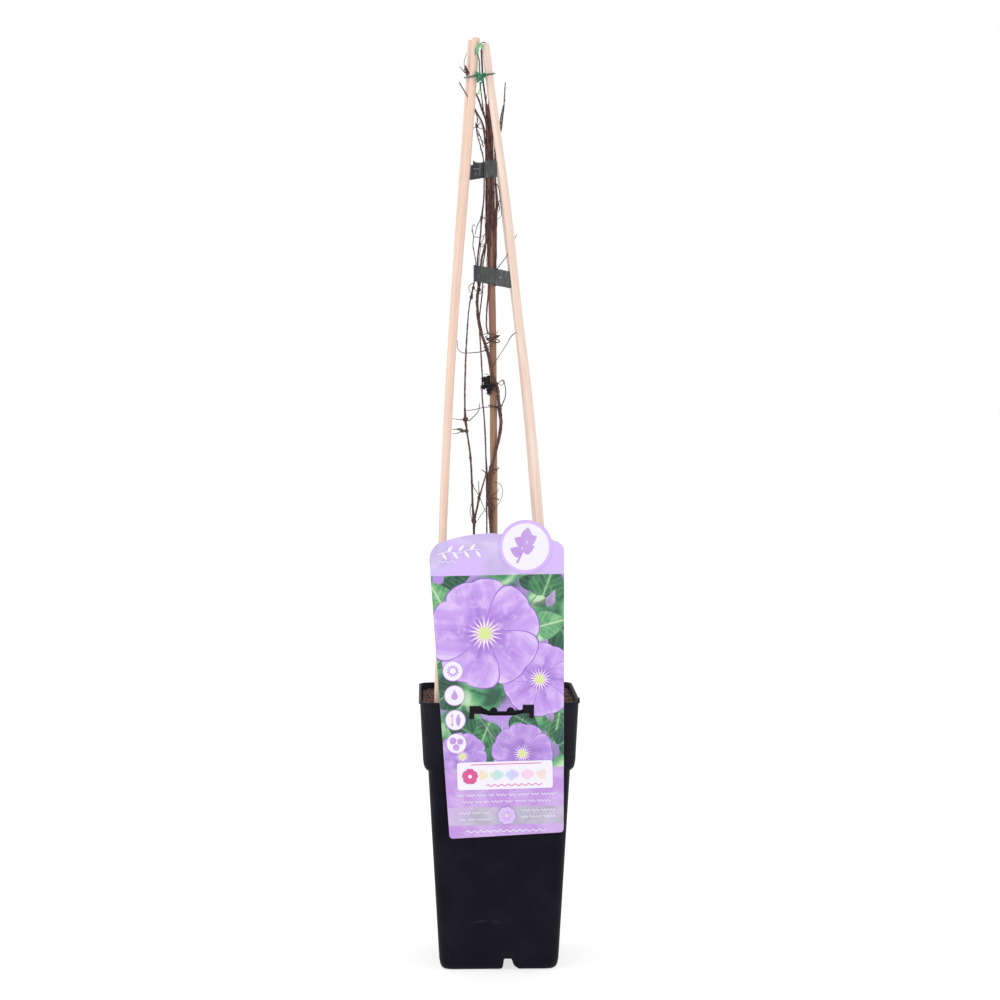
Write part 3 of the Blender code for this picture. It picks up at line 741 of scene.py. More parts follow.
@dataclass
class NurseryPot:
    """The square pot, one moulding with a collar, drain holes, base notches and two hooks."""

    height: float = 221.0
    bead: float = 1.6
    rim: float = 65.0
    collar_top: float = 64.0
    collar: float = 61.9
    collar_bend: float = 179.0
    collar_foot: float = 164.7
    body_top: float = 57.5
    body_foot: float = 48.7
    foot: float = 44.3
    foot_width: float = 2.8
    wall: float = 1.2
    floor: float = 10.2
    corner: float = 7.6
    hole: float = 4.0
    hole_circle: float = 28.0
    gap: float = 0.3
    head: float = 0.9
    leg: float = 3.7
    hooks: tuple[Edges, ...] = ((-24.4, -15.2, 212.4, 218.7), (18.4, 27.3, 212.8, 219.6))
    neck_inset: float = 1.2
    neck_sink: float = 0.9
    notch_fronts: Flat = (-52, 39)
    notch_depth: float = 13
    notch: tuple[Flat, ...] = (
        (0.6, -1), (16.6, -1), (16.6, 0), (14.6, 1.6), (12.3, 3.4), (11, 6.2), (10.4, 8.4), (9.6, 9.3),
        (4.6, 9.4), (3.9, 8.8), (3.5, 6), (3.1, 2.6), (2.2, 1), (0.6, 0))
    nick: tuple[Flat, ...] = ((62.8, 219.9), (64.9, 219.9), (64.9, 222.4), (64.6, 223.9), (64.3, 223.8),
                              (63.9, 222.2), (63.4, 221.3))

    def section(self) -> list[Flat]:
        """Half width and height, from under the floor, up outside, over the rim, down inside."""
        lip, wall = self.height - self.bead, self.wall
        return [
            (self.body_foot - 2, self.floor), (self.body_foot - 2.6, 4), (self.foot - self.foot_width, 0),
            (self.foot, 0), (self.foot + 1.3, 0.4), (self.foot + 2.4, 1.3), (self.body_foot - 0.8, 4),
            (self.body_foot, 8.5), (self.body_foot + 0.2, 12), (53.1, 86.5),
            (self.body_top, self.collar_foot), (self.body_top + 1.3, self.collar_foot),
            (self.collar - 1.5, self.collar_foot + 2.2), (self.collar - 0.7, self.collar_foot + 5),
            (self.collar - 0.2, self.collar_foot + 9), (self.collar, self.collar_bend),
            (self.collar_top, lip), (self.rim, lip), (self.rim, self.height),
            (self.rim - 1.5, self.height), (self.collar_top - wall, lip),
            (self.collar - wall, self.collar_bend), (self.collar - 0.5 - wall, 172.5),
            (self.collar - 1.8 - wall, 168.5), (self.body_top - wall, 165.9),
            (self.body_foot + 0.3 - wall, 14), (self.body_foot - 0.8 - wall, self.floor + wall)]

    def build_shell(self) -> Piece:
        """Draw the section up from a rounded square, one extrusion for each step."""
        (half, level), *rest = self.section()
        shell = begin(bpy.ops.mesh.primitive_plane_add, size=2 * half * MM, location=(0, 0, level * MM))
        with edited(shell):
            bpy.ops.mesh.bevel(offset=self.corner * MM, segments=9, affect="VERTICES")
            for next_half, next_level in rest:
                draw_out(next_level - level, next_half / half)
                half, level = next_half, next_level
        settle(shell, "nursery_pot")
        tidy(shell)
        return shell

    def cut_openings(self, shell: Piece) -> None:
        """Cut the drain holes, and two notches through the skirt each way."""
        cutters = []
        for x, y in arc((0, 0), self.hole_circle, 22.5, 337.5, 7):
            cutters.append(begin(bpy.ops.mesh.primitive_cylinder_add, vertices=24, radius=self.hole * MM,
                                 depth=10 * MM, location=Vector((x, y, self.floor + 1)) * MM))
        for front in self.notch_fronts:
            notch = plate("notch", self.notch, front, self.notch_depth)
            cutters += [notch, copy(notch, Matrix.Rotation(pi / 2, 4, "Z"))]
        cut(shell, join("openings", cutters))

    def build_hook(self, left: float, right: float, bottom: float, top: float) -> Piece:
        """One hook: a head with a leg at its outer side, on a neck that passes the card."""
        leg = (left, left + self.leg) if left < 0 else (right - self.leg, right)
        back = CARD_FRONT - self.gap
        front = back - self.head
        block = plate("hook", oblong(left, right, bottom, top), front, self.head)
        cut(block, plate("leg", oblong(*leg, bottom - 4, bottom + 1), front, self.head), "UNION")
        soften(block, 0.28, 3)
        step, start = self.neck_inset, back - 0.4
        neck = oblong(left + step, right - step, bottom + step, top - step)
        cut(block, plate("neck", neck, start, self.neck_sink - self.collar_top - start), "UNION")
        return block

    def build(self) -> None:
        """Make and dress the pot."""
        shell = self.build_shell()
        self.cut_openings(shell)
        soften(shell, 0.35, 2, 50)
        for hook in self.hooks:
            cut(shell, self.build_hook(*hook), "UNION")
        cut(shell, plate("nick", self.nick, -54, 1.5), "UNION")
        smooth(shell, 32)
        fit(dress(shell, MouldedPlastic()), Slot.POT, "pot")


@dataclass
class Soil:
    """The potting mix: a lumpy block inside the pot, with bark chips and pale fibres on it."""

    top: float = 212.9
    half: float = 61.9
    corner: float = 11.0
    foot_half: float = 45.9
    foot: float = 11.7
    collar_level: float = 172.0
    collar_slope: float = 6.0
    collar_shares: Flat = (0.955, 0.93)
    drop: float = 40.0
    stick_x: float = 46.5
    stick_y: float = 42.0
    reach: float = 60.5
    cells: int = 110
    lumps: float = 1.5
    bank: float = 6.0
    chips: int = 300
    fibres: int = 130
    strays: tuple[tuple[Point, ...], ...] = (
        ((-63.2, -46, 211), (-60.4, -50, 216.4), (-57, -52, 220.2)),
        ((-60.8, -40, 219.8), (-58.6, -46, 215.6), (-56.8, -49, 212)),
        ((-60.6, -52, 219), (-57.4, -51, 215), (-53.2, -50, 213.6), (-48.4, -53, 216.2)),
        ((52, -54, 213), (55.4, -51, 217.4), (58.8, -52, 219.6)),
        ((50.4, 30, 214), (55, 36, 217.8), (60.4, 38, 218.6)))
    seed: int = 11

    def height_at(self, x: float, y: float) -> float:
        """The level of the soil at a place, in millimetres."""
        edge = max(abs(x), abs(y)) / self.half
        mound = 1.6 * (1 - edge ** 2) + self.bank * max(0.0, abs(x) / self.half - 0.55)
        coarse = noise.fractal(Vector((x / 9, y / 9, 3.1)), 0.7, 2.0, 3)
        fine = noise.noise(Vector((x / 1.9, y / 1.9, 8.4)))
        return self.top + mound + self.lumps * coarse + 0.55 * fine

    def build_block(self) -> Piece:
        """A fine grid drawn into the pot's rounded square, and the block under it."""
        block = begin(bpy.ops.mesh.primitive_grid_add, x_subdivisions=self.cells,
                      y_subdivisions=self.cells, size=2 * self.half * MM, location=(0, 0, 0))
        inner = self.half - self.corner
        for corner in block.data.vertices:
            x, y = corner.co.x / MM, corner.co.y / MM
            over = Vector((max(0.0, abs(x) - inner), max(0.0, abs(y) - inner)))
            if over.x and over.y:
                share = max(over.x, over.y) / over.length
                x = copysign(inner + over.x * share, x)
                y = copysign(inner + over.y * share, y)
            corner.co = Vector((x, y, self.height_at(x, y))) * MM
        upper, lower = self.collar_shares
        # The first step is flattened at the level of the collar's bend, so its drop only has to pass it.
        with edited(block):
            bpy.ops.mesh.region_to_loop()
            draw_out(-self.drop, upper, 0, self.collar_level)
            draw_out(-self.collar_slope, lower, 1, self.collar_level - self.collar_slope)
            draw_out(self.foot - self.collar_level + self.collar_slope,
                     self.foot_half / (self.half * upper * lower))
            bpy.ops.mesh.edge_face_add()
        settle(block, "soil_block")
        tidy(block)
        smooth(block, 60)
        return dress(block, PottingMix())

    def spread(self, chance: random.Random, margin: float) -> Flat:
        """A random place on the soil, a margin inside the wall."""
        reach = self.half - margin
        while True:
            x, y = chance.uniform(-reach, reach), chance.uniform(-reach, reach)
            if abs(x) + abs(y) < 2 * reach - 7 and hypot(abs(x) - self.stick_x, abs(y) - self.stick_y) > 5:
                return x, y

    def build_chips(self, chance: random.Random) -> Piece:
        """Bark chips, three shapes copied at all angles."""
        shapes = []
        for number, size in enumerate(((3.4, 1.7, 0.9), (2.2, 1.9, 1.0), (5.2, 1.3, 0.7))):
            chip = settle(begin(bpy.ops.mesh.primitive_ico_sphere_add, subdivisions=2, radius=MM / 2,
                                scale=size, location=(0, 0, 0)), "chip")
            roughen(chip, 0.55, 1.1, number + 0.5)
            shapes.append(chip)
        chips = []
        for i in range(self.chips):
            x, y = self.spread(chance, 3.2)
            turn = Matrix.Rotation(chance.uniform(0, tau), 4, "Z") @ Matrix.Rotation(
                chance.gauss(0, 0.35), 4, "X") @ Matrix.Rotation(chance.gauss(0, 0.3), 4, "Y")
            size = Matrix.Scale(chance.uniform(0.6, 1.25), 4)
            place = Matrix.Translation(Vector((x, y, self.height_at(x, y) + 0.25)) * MM)
            chips.append(copy(shapes[i % 3], place @ turn @ size))
        for shape in shapes:
            bpy.data.objects.remove(shape)
        pile = join("bark_chips", chips)
        smooth(pile, 50)
        return dress(pile, PottingMix(tint("2e1a18"), tint("683e32"), tint("9e7058"), "bark_chips", 1.3))

    def build_fibres(self, chance: random.Random) -> Piece:
        """Pale coir fibres that lie on the soil, with a few that stand up at the rim."""
        routes = [Route(points, 0.2, 0.14) for points in self.strays]
        for number in range(self.fibres):
            x, y = self.spread(chance, 8.0)
            lift = 1.5
            if number % 3 == 0:
                x, lift = copysign(chance.uniform(47, 59), x), 3.6
            heading, bend = chance.uniform(0, tau), chance.gauss(0, 0.5)
            points = []
            for _ in range(5):
                points.append((x, y, self.height_at(x, y) + chance.uniform(0.3, lift)))
                x = max(-self.reach, min(self.reach, x + 3.0 * cos(heading)))
                y = max(-self.reach, min(self.reach, y + 3.0 * sin(heading)))
                heading += bend
            routes.append(Route(tuple(points), 0.2, 0.1))
        return dress(tubes("coir_fibres", routes, 4, 3), PottingMix(
            tint("785446"), tint("9e8070"), tint("c4ac9e"), "coir_fibres", 1.2))

    def build(self) -> None:
        """Make and dress the soil."""
        chance = random.Random(self.seed)
        fit(self.build_block(), Slot.SOIL, "soil")
        fit(self.build_chips(chance), Slot.SOIL)
        fit(self.build_fibres(chance), Slot.SOIL)


STICK_RADIUS = 3.2
CANE_RADIUS = 3.0
CANE_LINE = Route(((-1.8, 0, 60), (-2.4, 0, 215), (-2.8, 0, 353), (-3.5, 0, 484), (-4.2, 0, 536),
                   (-5.2, 0, 582), (-6, 0, 634), (-6.9, 0, 701.4), (-6.9, 0, 702)), CANE_RADIUS,
                  CANE_RADIUS, ((8, 0.86),))


def stick_line(*points: Point) -> Route:
    """A stick's centre line with its tip's edge rounded off."""
    tip, before = Vector(points[-1]), Vector(points[-2])
    shoulder = tip + (before - tip).normalized() * 0.7
    return Route((*points[:-1], tuple(shoulder), points[-1]), STICK_RADIUS, STICK_RADIUS,
                 ((len(points), 0.84),))


@dataclass
class StickPyramid:
    """Four bowed sticks that lean together, and the cane that the stems are tied to."""

    front_left: Route = stick_line(
        (-46.5, -41.5, 60), (-49.2, -43, 224), (-48.2, -42, 243), (-45.2, -34.5, 355), (-43.3, -31.6, 398),
        (-38.6, -25.8, 484), (-33.5, -21, 556), (-28.2, -16.8, 618), (-21.9, -11.4, 699),
        (-17.6, -7.5, 757))
    back_left: Route = stick_line(
        (-46.5, 41.5, 60), (-48.7, 43, 224), (-47.8, 42, 243), (-45, 34.5, 355), (-43.2, 31, 398),
        (-38.8, 26, 484), (-34.2, 20.5, 556), (-29.9, 15.8, 620), (-24, 10.1, 701), (-20.7, 6.1, 757))
    front_right: Route = stick_line(
        (46, -41.5, 60), (46.5, -43, 224), (39.3, -38.6, 300), (33.4, -35.3, 366), (27.9, -30.9, 430),
        (22.3, -27.3, 484), (17.8, -24.9, 520), (7.4, -18.3, 618), (-3.4, -12.9, 699), (-10.1, -9.3, 752))
    back_right: Route = stick_line(
        (46, 41.5, 60), (46.5, 43, 224), (39.5, 38.4, 300), (33.4, 34.3, 363), (27.9, 30.2, 429),
        (22.5, 28, 484), (18.4, 25.5, 521), (6.6, 19, 620), (-3.2, 13, 702), (-9.6, 8.6, 753))

    def build(self) -> None:
        """Make and dress the sticks and the cane."""
        tan = GrainedWood("tan_stick", tint("e6cbbb"), tint("dabba8"), tint("be9a86"), 0.3)
        grey = GrainedWood("grey_stick", tint("e8d3c6"), tint("dcc3b4"), tint("c0a290"), 0.3)
        for name, wood in (("front_left", tan), ("back_left", tan), ("front_right", grey),
                           ("back_right", grey)):
            stick = tubes("dowel_" + name, [getattr(self, name)], 20, 5)
            fit(dress(stick, wood), Slot.STICK, "stick_" + name)
        cane = tubes("support_cane", [CANE_LINE], 18, 8)
        roughen(cane, 0.12, 14)
        dull = GrainedWood("dull_cane", tint("a68062"), tint("8c684e"), tint("644636"), 0.5, 0.5, 0.7,
                           0.12, tint("885c50"), 455)
        fit(dress(cane, dull), Slot.CANE, "cane")


@dataclass(frozen=True)
class Stem:
    """A stem, the shoots that grow from it, and the dried stalks that cling to it."""

    name: str
    stands_for: str
    line: Route
    shoots: tuple[Route, ...] = ()
    stalks: tuple[Route, ...] = ()


def wind(low: float, high: float, start: float, turns: float, reach: float) -> tuple[Point, ...]:
    """A tendril's turns round the cane.

    Args:
        low, high: the heights where it starts and ends.
        start: the angle where it starts, in degrees.
        turns: how often it goes round, negative for the other way.
        reach: how far it stays from the cane's middle.

    Returns:
        Its points.
    """
    count = round(10 * abs(turns))
    points = []
    for i in range(count + 1):
        share = i / count
        points.append(beside(CANE_LINE.at_height(low + (high - low) * share), reach,
                             radians(start + 360 * turns * share)))
    return tuple(points)


MAIN = Stem(
    "main_shoot", "main_stem",
    Route(((-4, -8, 170), (-4, -8, 215), (-4.5, -7, 280), (-5.4, -6.2, 354), (-6.2, -5.9, 370),
           (-6.9, -5.4, 396), (-5.4, -5.2, 407), (-3.3, -5.1, 413), (-1, -4.9, 423), (1.4, -3.6, 431.5),
           (2.9, -2.2, 443), (1.7, -2.2, 455), (0.8, -3.2, 463), (0.4, -3.9, 471), (-2.1, -5, 477),
           (-5, -5.6, 486), (-7.2, -5, 499), (-10.1, -3.8, 509), (-13, -3.4, 517), (-15.2, -3.2, 526),
           (-16.4, -3, 536), (-16.8, -3, 545), (-15.6, -3, 553), (-14.3, -3, 560), (-13.9, -3.2, 569),
           (-13.3, -3.6, 576), (-11.6, -4.2, 584), (-9, -5, 594), (-7.8, -5.2, 604), (-7.4, -5.2, 634),
           (-7.2, -5, 655), (-7.2, -4.8, 668), (-8, -4.6, 681), (-10.6, -4.2, 694), (-13.5, -3.6, 702),
           (-15.9, -2.2, 709), (-19.1, -0.8, 716), (-21.9, 0, 723), (-22.9, 0.2, 728.5), (-24.6, 0.4, 732),
           (-26.2, 0.5, 735.5)), 1.35, 0.6, ((4, 1.3), (6, 1.3), (11, 1.5), (14, 1.4), (22, 1.4))),
    (Route(((-15.6, -3, 552.5), (-16, -1.2, 561), (-16.2, -0.4, 571), (-16, -0.6, 580), (-14.8, -1.6, 590),
            (-13.7, -1.8, 600), (-12.9, -1.5, 612), (-11.4, -0.6, 624), (-10.9, 0.2, 634),
            (-10.9, 0.4, 650), (-11.4, -0.8, 659), (-14, -3, 670), (-16.3, -4, 678), (-17.2, -4.6, 685),
            (-16.4, -5, 691), (-17.4, -5, 697)), 0.75, 0.4, ((6, 1.4),)),
     Route(((-11.3, -4.1, 696), (-12.3, -4.8, 705), (-13.2, -5, 711), (-13.6, -5.1, 716)), 0.55, 0.3)),
    (Route(((-17.1, -4.5, 684), (-15.1, -4.8, 680), (-13.5, -5, 675.5), (-11.6, -5.2, 669)), 0.45, 0.3),
     Route(((-2.1, -5, 477), *wind(477, 468, -60, 1.4, CANE_RADIUS + 1)), 0.6, 0.35),
     Route(((1.6, -2.2, 456), (-3, -6.2, 457), (-7.1, -6.4, 457), (-12.3, -5, 456.5), (-18.5, -6.4, 455),
            (-25.5, -9.2, 454)), 0.42, 0.28),
     Route(((1.7, -2.2, 455.5), (4.3, -3, 460), (6.6, -4, 467), (5.8, -4.4, 476), (4.6, -4.8, 479.2),
            (2.8, -4.9, 478.2)), 0.5, 0.25),
     Route(((-8.4, -4.6, 504), (-13, -6.8, 502.5), (-19.7, -8.8, 501.5), (-31.4, -9.2, 503),
            (-33.3, -9.4, 512)), 0.48, 0.25),
     Route(((-5.6, -5.5, 488.5), (-3.2, -5.6, 491.5), (-0.3, -5, 496.5), (6.7, -5, 507), (13.3, -6, 517),
            (15.8, -6, 518)), 0.38, 0.22, ((4, 1.8),))))

INNER = Stem(
    "inner_shoot", "inner_stem",
    Route(((-9, -4, 170), (-9, -4, 215), (-8.8, -3.2, 300), (-8.8, -3, 354), (-8.9, -2.8, 384),
           (-8.8, -2.2, 400), (-9.4, -1.6, 415), (-10.3, -1, 439), (-11.3, -1, 453), (-12.4, -1, 463),
           (-12.7, -1, 472), (-12.4, -1, 481), (-13, -1, 491), (-13.7, -0.5, 505), (-14.4, 0.2, 516),
           (-14.9, 0.8, 526), (-14.1, 1.2, 536), (-13, 1.2, 545), (-12.2, 1.2, 553), (-11.9, 1, 565),
           (-11.9, 0.4, 573), (-10.6, -1.2, 581), (-9.5, -2.7, 590), (-9.3, -3.1, 602), (-9.4, -3, 630),
           (-9.6, -3, 655), (-9.8, -3.1, 667), (-10.4, -3, 678), (-11.6, -2.4, 686), (-14.7, -1.8, 693),
           (-18.3, -1, 699), (-24.8, 0, 711), (-31.1, 1, 722)), 0.65, 0.45, ((5, 1.5), (30, 1.3))), (),
    (Route(((-8.8, -2.4, 402), (-11.4, -3, 404.4), (-13.8, -3.4, 405.5)), 0.6, 0.2),))

LEFT = Stem(
    "left_shoot", "left_stem",
    Route(((-14, -9, 170), (-14, -9, 215), (-17.5, -8.5, 290), (-19.5, -8, 354), (-19.5, -8, 364),
           (-20.4, -8, 374), (-21.3, -8, 398), (-22.3, -7.5, 416), (-25.2, -7, 437), (-26.4, -7, 447),
           (-26.9, -6.5, 458), (-26.5, -5, 486), (-26, -4.5, 500), (-25.2, -4, 514), (-24.4, -4, 527),
           (-22.9, -4, 541), (-21.3, -4, 549), (-19.3, -4, 558), (-18, -3.8, 567), (-17.7, -3.6, 575),
           (-19, -3.2, 583), (-20.1, -3, 590), (-19.6, -3, 597), (-20.7, -3, 601.7), (-20.4, -3, 604.8),
           (-19.3, -3, 606), (-18.5, -3, 604.8)), 1.0, 0.24, ((4, 1.6), (9, 1.6), (16, 1.4))),
    (Route(((-19.5, -8, 363), (-17, -8, 374), (-15.2, -7.8, 382.5), (-12.4, -7.8, 392), (-9.4, -7.8, 403)),
           0.85, 0.55, ((2, 1.35),)),
     Route(((-25.3, -7, 437.4), (-29.2, -7.6, 437.8), (-33.4, -8, 438.8), (-37.2, -8, 438.6)), 1.0, 0.22)),
    (Route(((-26.4, -7, 446.6), (-31.7, -8, 446.8), (-37.5, -10, 447.7)), 0.5, 0.22),
     Route(((-26.4, -7, 446.8), (-23.7, -7.4, 446), (-20.4, -6.6, 448.5), (-15.6, -3.6, 454),
            (-14.6, -2.8, 460)), 0.5, 0.25),
     Route(((-29.3, -7.8, 437.6), (-32.9, -7.8, 435.6), (-37, -7.8, 435.2)), 0.5, 0.2)))

CANE_SHOOT = Stem(
    "cane_shoot", "cane_stem",
    Route((*reversed(wind(518, 512, 205, -1.2, CANE_RADIUS + 1.3)), (-8.8, -3.2, 521), (-9, -3.2, 531),
           (-8.5, -3.4, 540), (-7.8, -3.8, 547), (-7.4, -4.1, 557), (-7.6, -4.1, 569), (-7.6, -4, 581),
           (-7, -4.2, 590), (-6.2, -4.4, 598), (-5, -4.5, 612), (-4.4, -4.4, 630), (-4.2, -4.4, 650),
           (-4.6, -4.3, 667), (-5.8, -4.2, 679), (-7.4, -4.2, 691), (-8.8, -4, 701), (-10.2, -3.8, 711),
           (-11.8, -3.8, 724), (-12.6, -4, 736), (-13.2, -4.2, 748)), 0.55, 0.75))

RIGHT = Stem(
    "right_shoot", "right_stem",
    Route(((-1.8, -3.3, 556), (-2, -3.1, 572), (-1.7, -2.4, 597), (-1.3, -2, 612), (-0.2, -1.8, 623),
           (-0.9, -2, 634), (-1.7, -2.4, 645), (-1.8, -2.6, 659), (-1.4, -2.2, 668), (0.9, -1, 678),
           (3, -0.2, 684), (4, 0, 691), (5.1, 0, 700), (5.8, 0, 710), (6.5, 0, 722)), 0.9, 0.45,
          ((4, 1.5), (10, 1.2))),
    (Route(((2.2, -0.4, 682), (2.5, 0, 693), (4.8, 0, 702), (6.4, 0, 708.2)), 0.4, 0.25),),
    (Route(((-1.3, -2.2, 640), (0.6, -3, 637), (2.4, -3.2, 626), (3.5, -3.2, 613)), 0.42, 0.3),
     Route(((-2, -3, 566), (-0.6, -4.4, 569.5), (2.6, -5.6, 574), (6, -6, 578.4), (8.5, -6, 582),
            (11.5, -4, 588.9), (14.1, -2, 594.8), (16, 0, 598.5)), 0.42, 0.22)))

TENDRILS = tuple(Route(*line) for line in (
    (((-19.6, -3.2, 596.8), (-16.8, -3.4, 595.7), (-13.7, -3.4, 596), (-10.8, -3.4, 597.5)), 0.32, 0.22),
    (((-19.3, -4.6, 558.5), (-22.1, -4.8, 557.1), (-23.4, -4.8, 555.2), (-22.9, -4.6, 552.2),
      (-21.6, -4.4, 550.4), (-20.4, -4.6, 551.9)), 0.38, 0.25),
    (((-16.8, -5.2, 554.4), (-15.5, -5.4, 552.4), (-13.1, -5.4, 551.7), (-14.1, -5, 549.8),
      (-16.3, -4.8, 550.3)), 0.42, 0.25),
    (((-20.1, -5, 554.7), (-16.8, -5.4, 551.9), (-13.6, -5.4, 553.2), (-10.3, -5, 556)), 0.36, 0.25),
    (((-15.3, -8.2, 382.6), (-15.5, -8.4, 389.8), (-15.7, -8.6, 396.7)), 0.42, 0.25),
    (((-21.1, -8.6, 395.6), (-18.6, -8.9, 389.3), (-15.4, -8.9, 384.5), (-12.9, -8.9, 378.3),
      (-11, -8.8, 373.4), (-8.2, -8.4, 368.4)), 0.34, 0.25),
    (((-16.7, -8.8, 363.8), (-13.7, -8.9, 368.4), (-11, -8.8, 372.2), (-9.1, -8.6, 375)), 0.34, 0.22),
    (((-20.6, -8.4, 380.3), (-22.3, -8.6, 375), (-22.6, -8.6, 369.6), (-20.6, -8.6, 364.8)), 0.32, 0.24),
    (((-3.4, -5.8, 395.4), (0.3, -6, 394.7), (3.3, -6, 391.8), (4.2, -6, 388.1), (3.1, -6, 382.2),
      (0.3, -5.8, 376.7), (-3.4, -5.8, 372)), 0.26, 0.2),
    (((-4.2, -5.6, 401.6), (-1, -5.8, 404), (0.7, -5.8, 406.9)), 0.36, 0.22),
    (((-4.9, -5.8, 384.2), (-1.3, -5.8, 386.4), (1.3, -5.6, 390)), 0.36, 0.22),
    (((-1.6, -5, 472.3), (0.7, -5.2, 476.2), (3.2, -5.2, 478.6), (4.8, -5.2, 477.2), (3.6, -5, 474.9),
      (1.5, -5, 475.4)), 0.4, 0.25),
    (((-13, -4.6, 612), (-9.5, -5.6, 610.6), (-7, -5.8, 607.8)), 0.4, 0.28),
    (((-13, -4.4, 612), (-15.1, -4, 608.2), (-17.3, -4, 603.3), (-18.1, -3.8, 598.2)), 0.4, 0.28),
    (((-9.5, -5.8, 607.3), (-10.3, -6, 604.8), (-9.1, -6, 600.8), (-11.1, -6, 596.7), (-12.3, -5.8, 593),
      (-13.9, -5.4, 590.7), (-13.7, -4.8, 588.2), (-11.9, -5.2, 588.6), (-12.6, -5.9, 590.5),
      (-14.1, -5.8, 585.3), (-14.9, -5.6, 578.8), (-15.2, -5, 573.1)), 0.34, 0.24),
    (((-8.7, -6.1, 610.5), (-2.9, -6.2, 609.3), (0.3, -6, 610.5), (2.6, -5.8, 612.7)), 0.3, 0.2),
    (((0.2, -2.8, 622.9), (1.7, -3.4, 620.5), (0.9, -3.6, 616.4)), 0.45, 0.3),
    (((-16.8, -4.8, 686.1), (-19.5, -5.2, 684.4), (-21.3, -5.2, 685.2)), 0.45, 0.2),
    (((-16.8, -4.8, 686.1), (-14.3, -5.2, 684), (-10.5, -5.2, 684.1)), 0.45, 0.2),
    (((-16.8, -4.8, 686), (-18.2, -5.4, 689)), 0.45, 0.2),
    (((-16.8, -4.8, 686), (-14.6, -5.4, 688.2), (-14, -5.4, 689.8)), 0.45, 0.2),
    (((-16.4, -4.2, 680.4), (-14.8, -5, 678), (-12.7, -5.2, 676.8)), 0.32, 0.24),
    (((-15.5, -4.2, 673.9), (-14, -5, 675.5), (-12, -5.2, 672.8), (-13.3, -5, 670.2)), 0.32, 0.24),
    (((-14.3, -3.8, 667.4), (-12.4, -4.8, 665.3), (-11.9, -5, 662.6)), 0.32, 0.24),
    (((-25.8, 0.5, 732.8), (-27.1, 0.6, 736.1), (-26.4, 0.6, 741.4), (-24.9, 0.6, 745.8)), 0.34, 0.2),
    (((-26.1, 0.6, 729.6), (-29, 0.6, 732.8), (-31, 0.6, 735.1)), 0.6, 0.2),
    (((-5.6, -7.2, 370.2), (-3, -7.8, 373.3), (-3.8, -8, 377.4), (-6.6, -7.8, 377.9)), 0.36, 0.22),
    (((-9.2, -1.5, 512.8), (-7.4, -4.6, 511.6), (-3.8, -5.4, 510.6), (-0.2, -4.2, 509.8),
      (1.6, -0.8, 510.6), (0.6, 3.2, 512), (-3.6, 4.6, 513.4), (-8, 3, 513.6), (-9.6, -0.6, 514.6),
      (-8.4, -3.8, 515.4)), 0.5, 0.38),
    (((-8.8, -2.4, 508.8), (-6.6, -4.9, 510.4), (-3.2, -5.8, 512.8), (0.4, -4.6, 515), (1.9, -1, 515.8),
      (0.8, 3, 514.6), (-3.4, 4.8, 512), (-8.2, 2.8, 509.6), (-9.6, -1.4, 508.2), (-7.6, -4.6, 506.8),
      (-4.4, -5.2, 506)), 0.46, 0.3),
    (((-11.4, -3.4, 516.4), (-8.6, -4.8, 517.2), (-4.6, -5, 516.4), (-1.2, -4.2, 517.4),
      (0.8, -2.2, 519.6)), 0.36, 0.22), (wind(404, 407.5, -160, 0.55, CANE_RADIUS + 1.6), 0.4, 0.25),
    (wind(383, 380, -170, 0.6, CANE_RADIUS + 1.4), 0.36, 0.25),
    (wind(458.5, 456, -170, 0.6, CANE_RADIUS + 1.2), 0.4, 0.3)))

KNUCKLES: tuple[tuple[Point, float, float], ...] = (
    ((-19.5, -8.1, 363.7), 2.1, 2.4), ((-22.3, -7.4, 415.5), 1.3, 1.6), ((-26.4, -7, 446.6), 2.3, 1.5),
    ((-25.6, -7.1, 437.4), 1.7, 1.4), ((-21.5, -4.2, 547), 1.4, 1.6), ((-15.3, -7.8, 382.5), 1.3, 1.7),
    ((1.7, -2.3, 456), 2.1, 2.0), ((-8.9, -4.8, 504.2), 1.9, 1.7), ((-13, -2, 612), 1.3, 1.5),
    ((0, -2.2, 623), 1.6, 1.8), ((-16.8, -4.6, 686.1), 1.2, 1.2), ((2.4, -0.3, 683), 1.1, 1.5),
    ((-19.9, -4.2, 554.7), 1.3, 1.2), ((-15.3, -3.4, 553), 1.7, 1.6), ((-8.7, -2.6, 401.5), 1.5, 1.8),
    ((-6.4, -5.7, 377), 2.2, 2.2), ((-5.3, -5.4, 407), 2.0, 2.0), ((-2.2, -5, 477), 1.7, 1.8),
    ((-18.4, -1, 699), 1.1, 1.4), ((-11.4, -4.1, 696.5), 1.1, 1.5))


class BudShape(Enum):
    """What kind of bud sits at a node."""

    PLUMP = (1.0, 2.6)
    LONG = (1.25, 5.2)
    TINY = (0.65, 1.6)


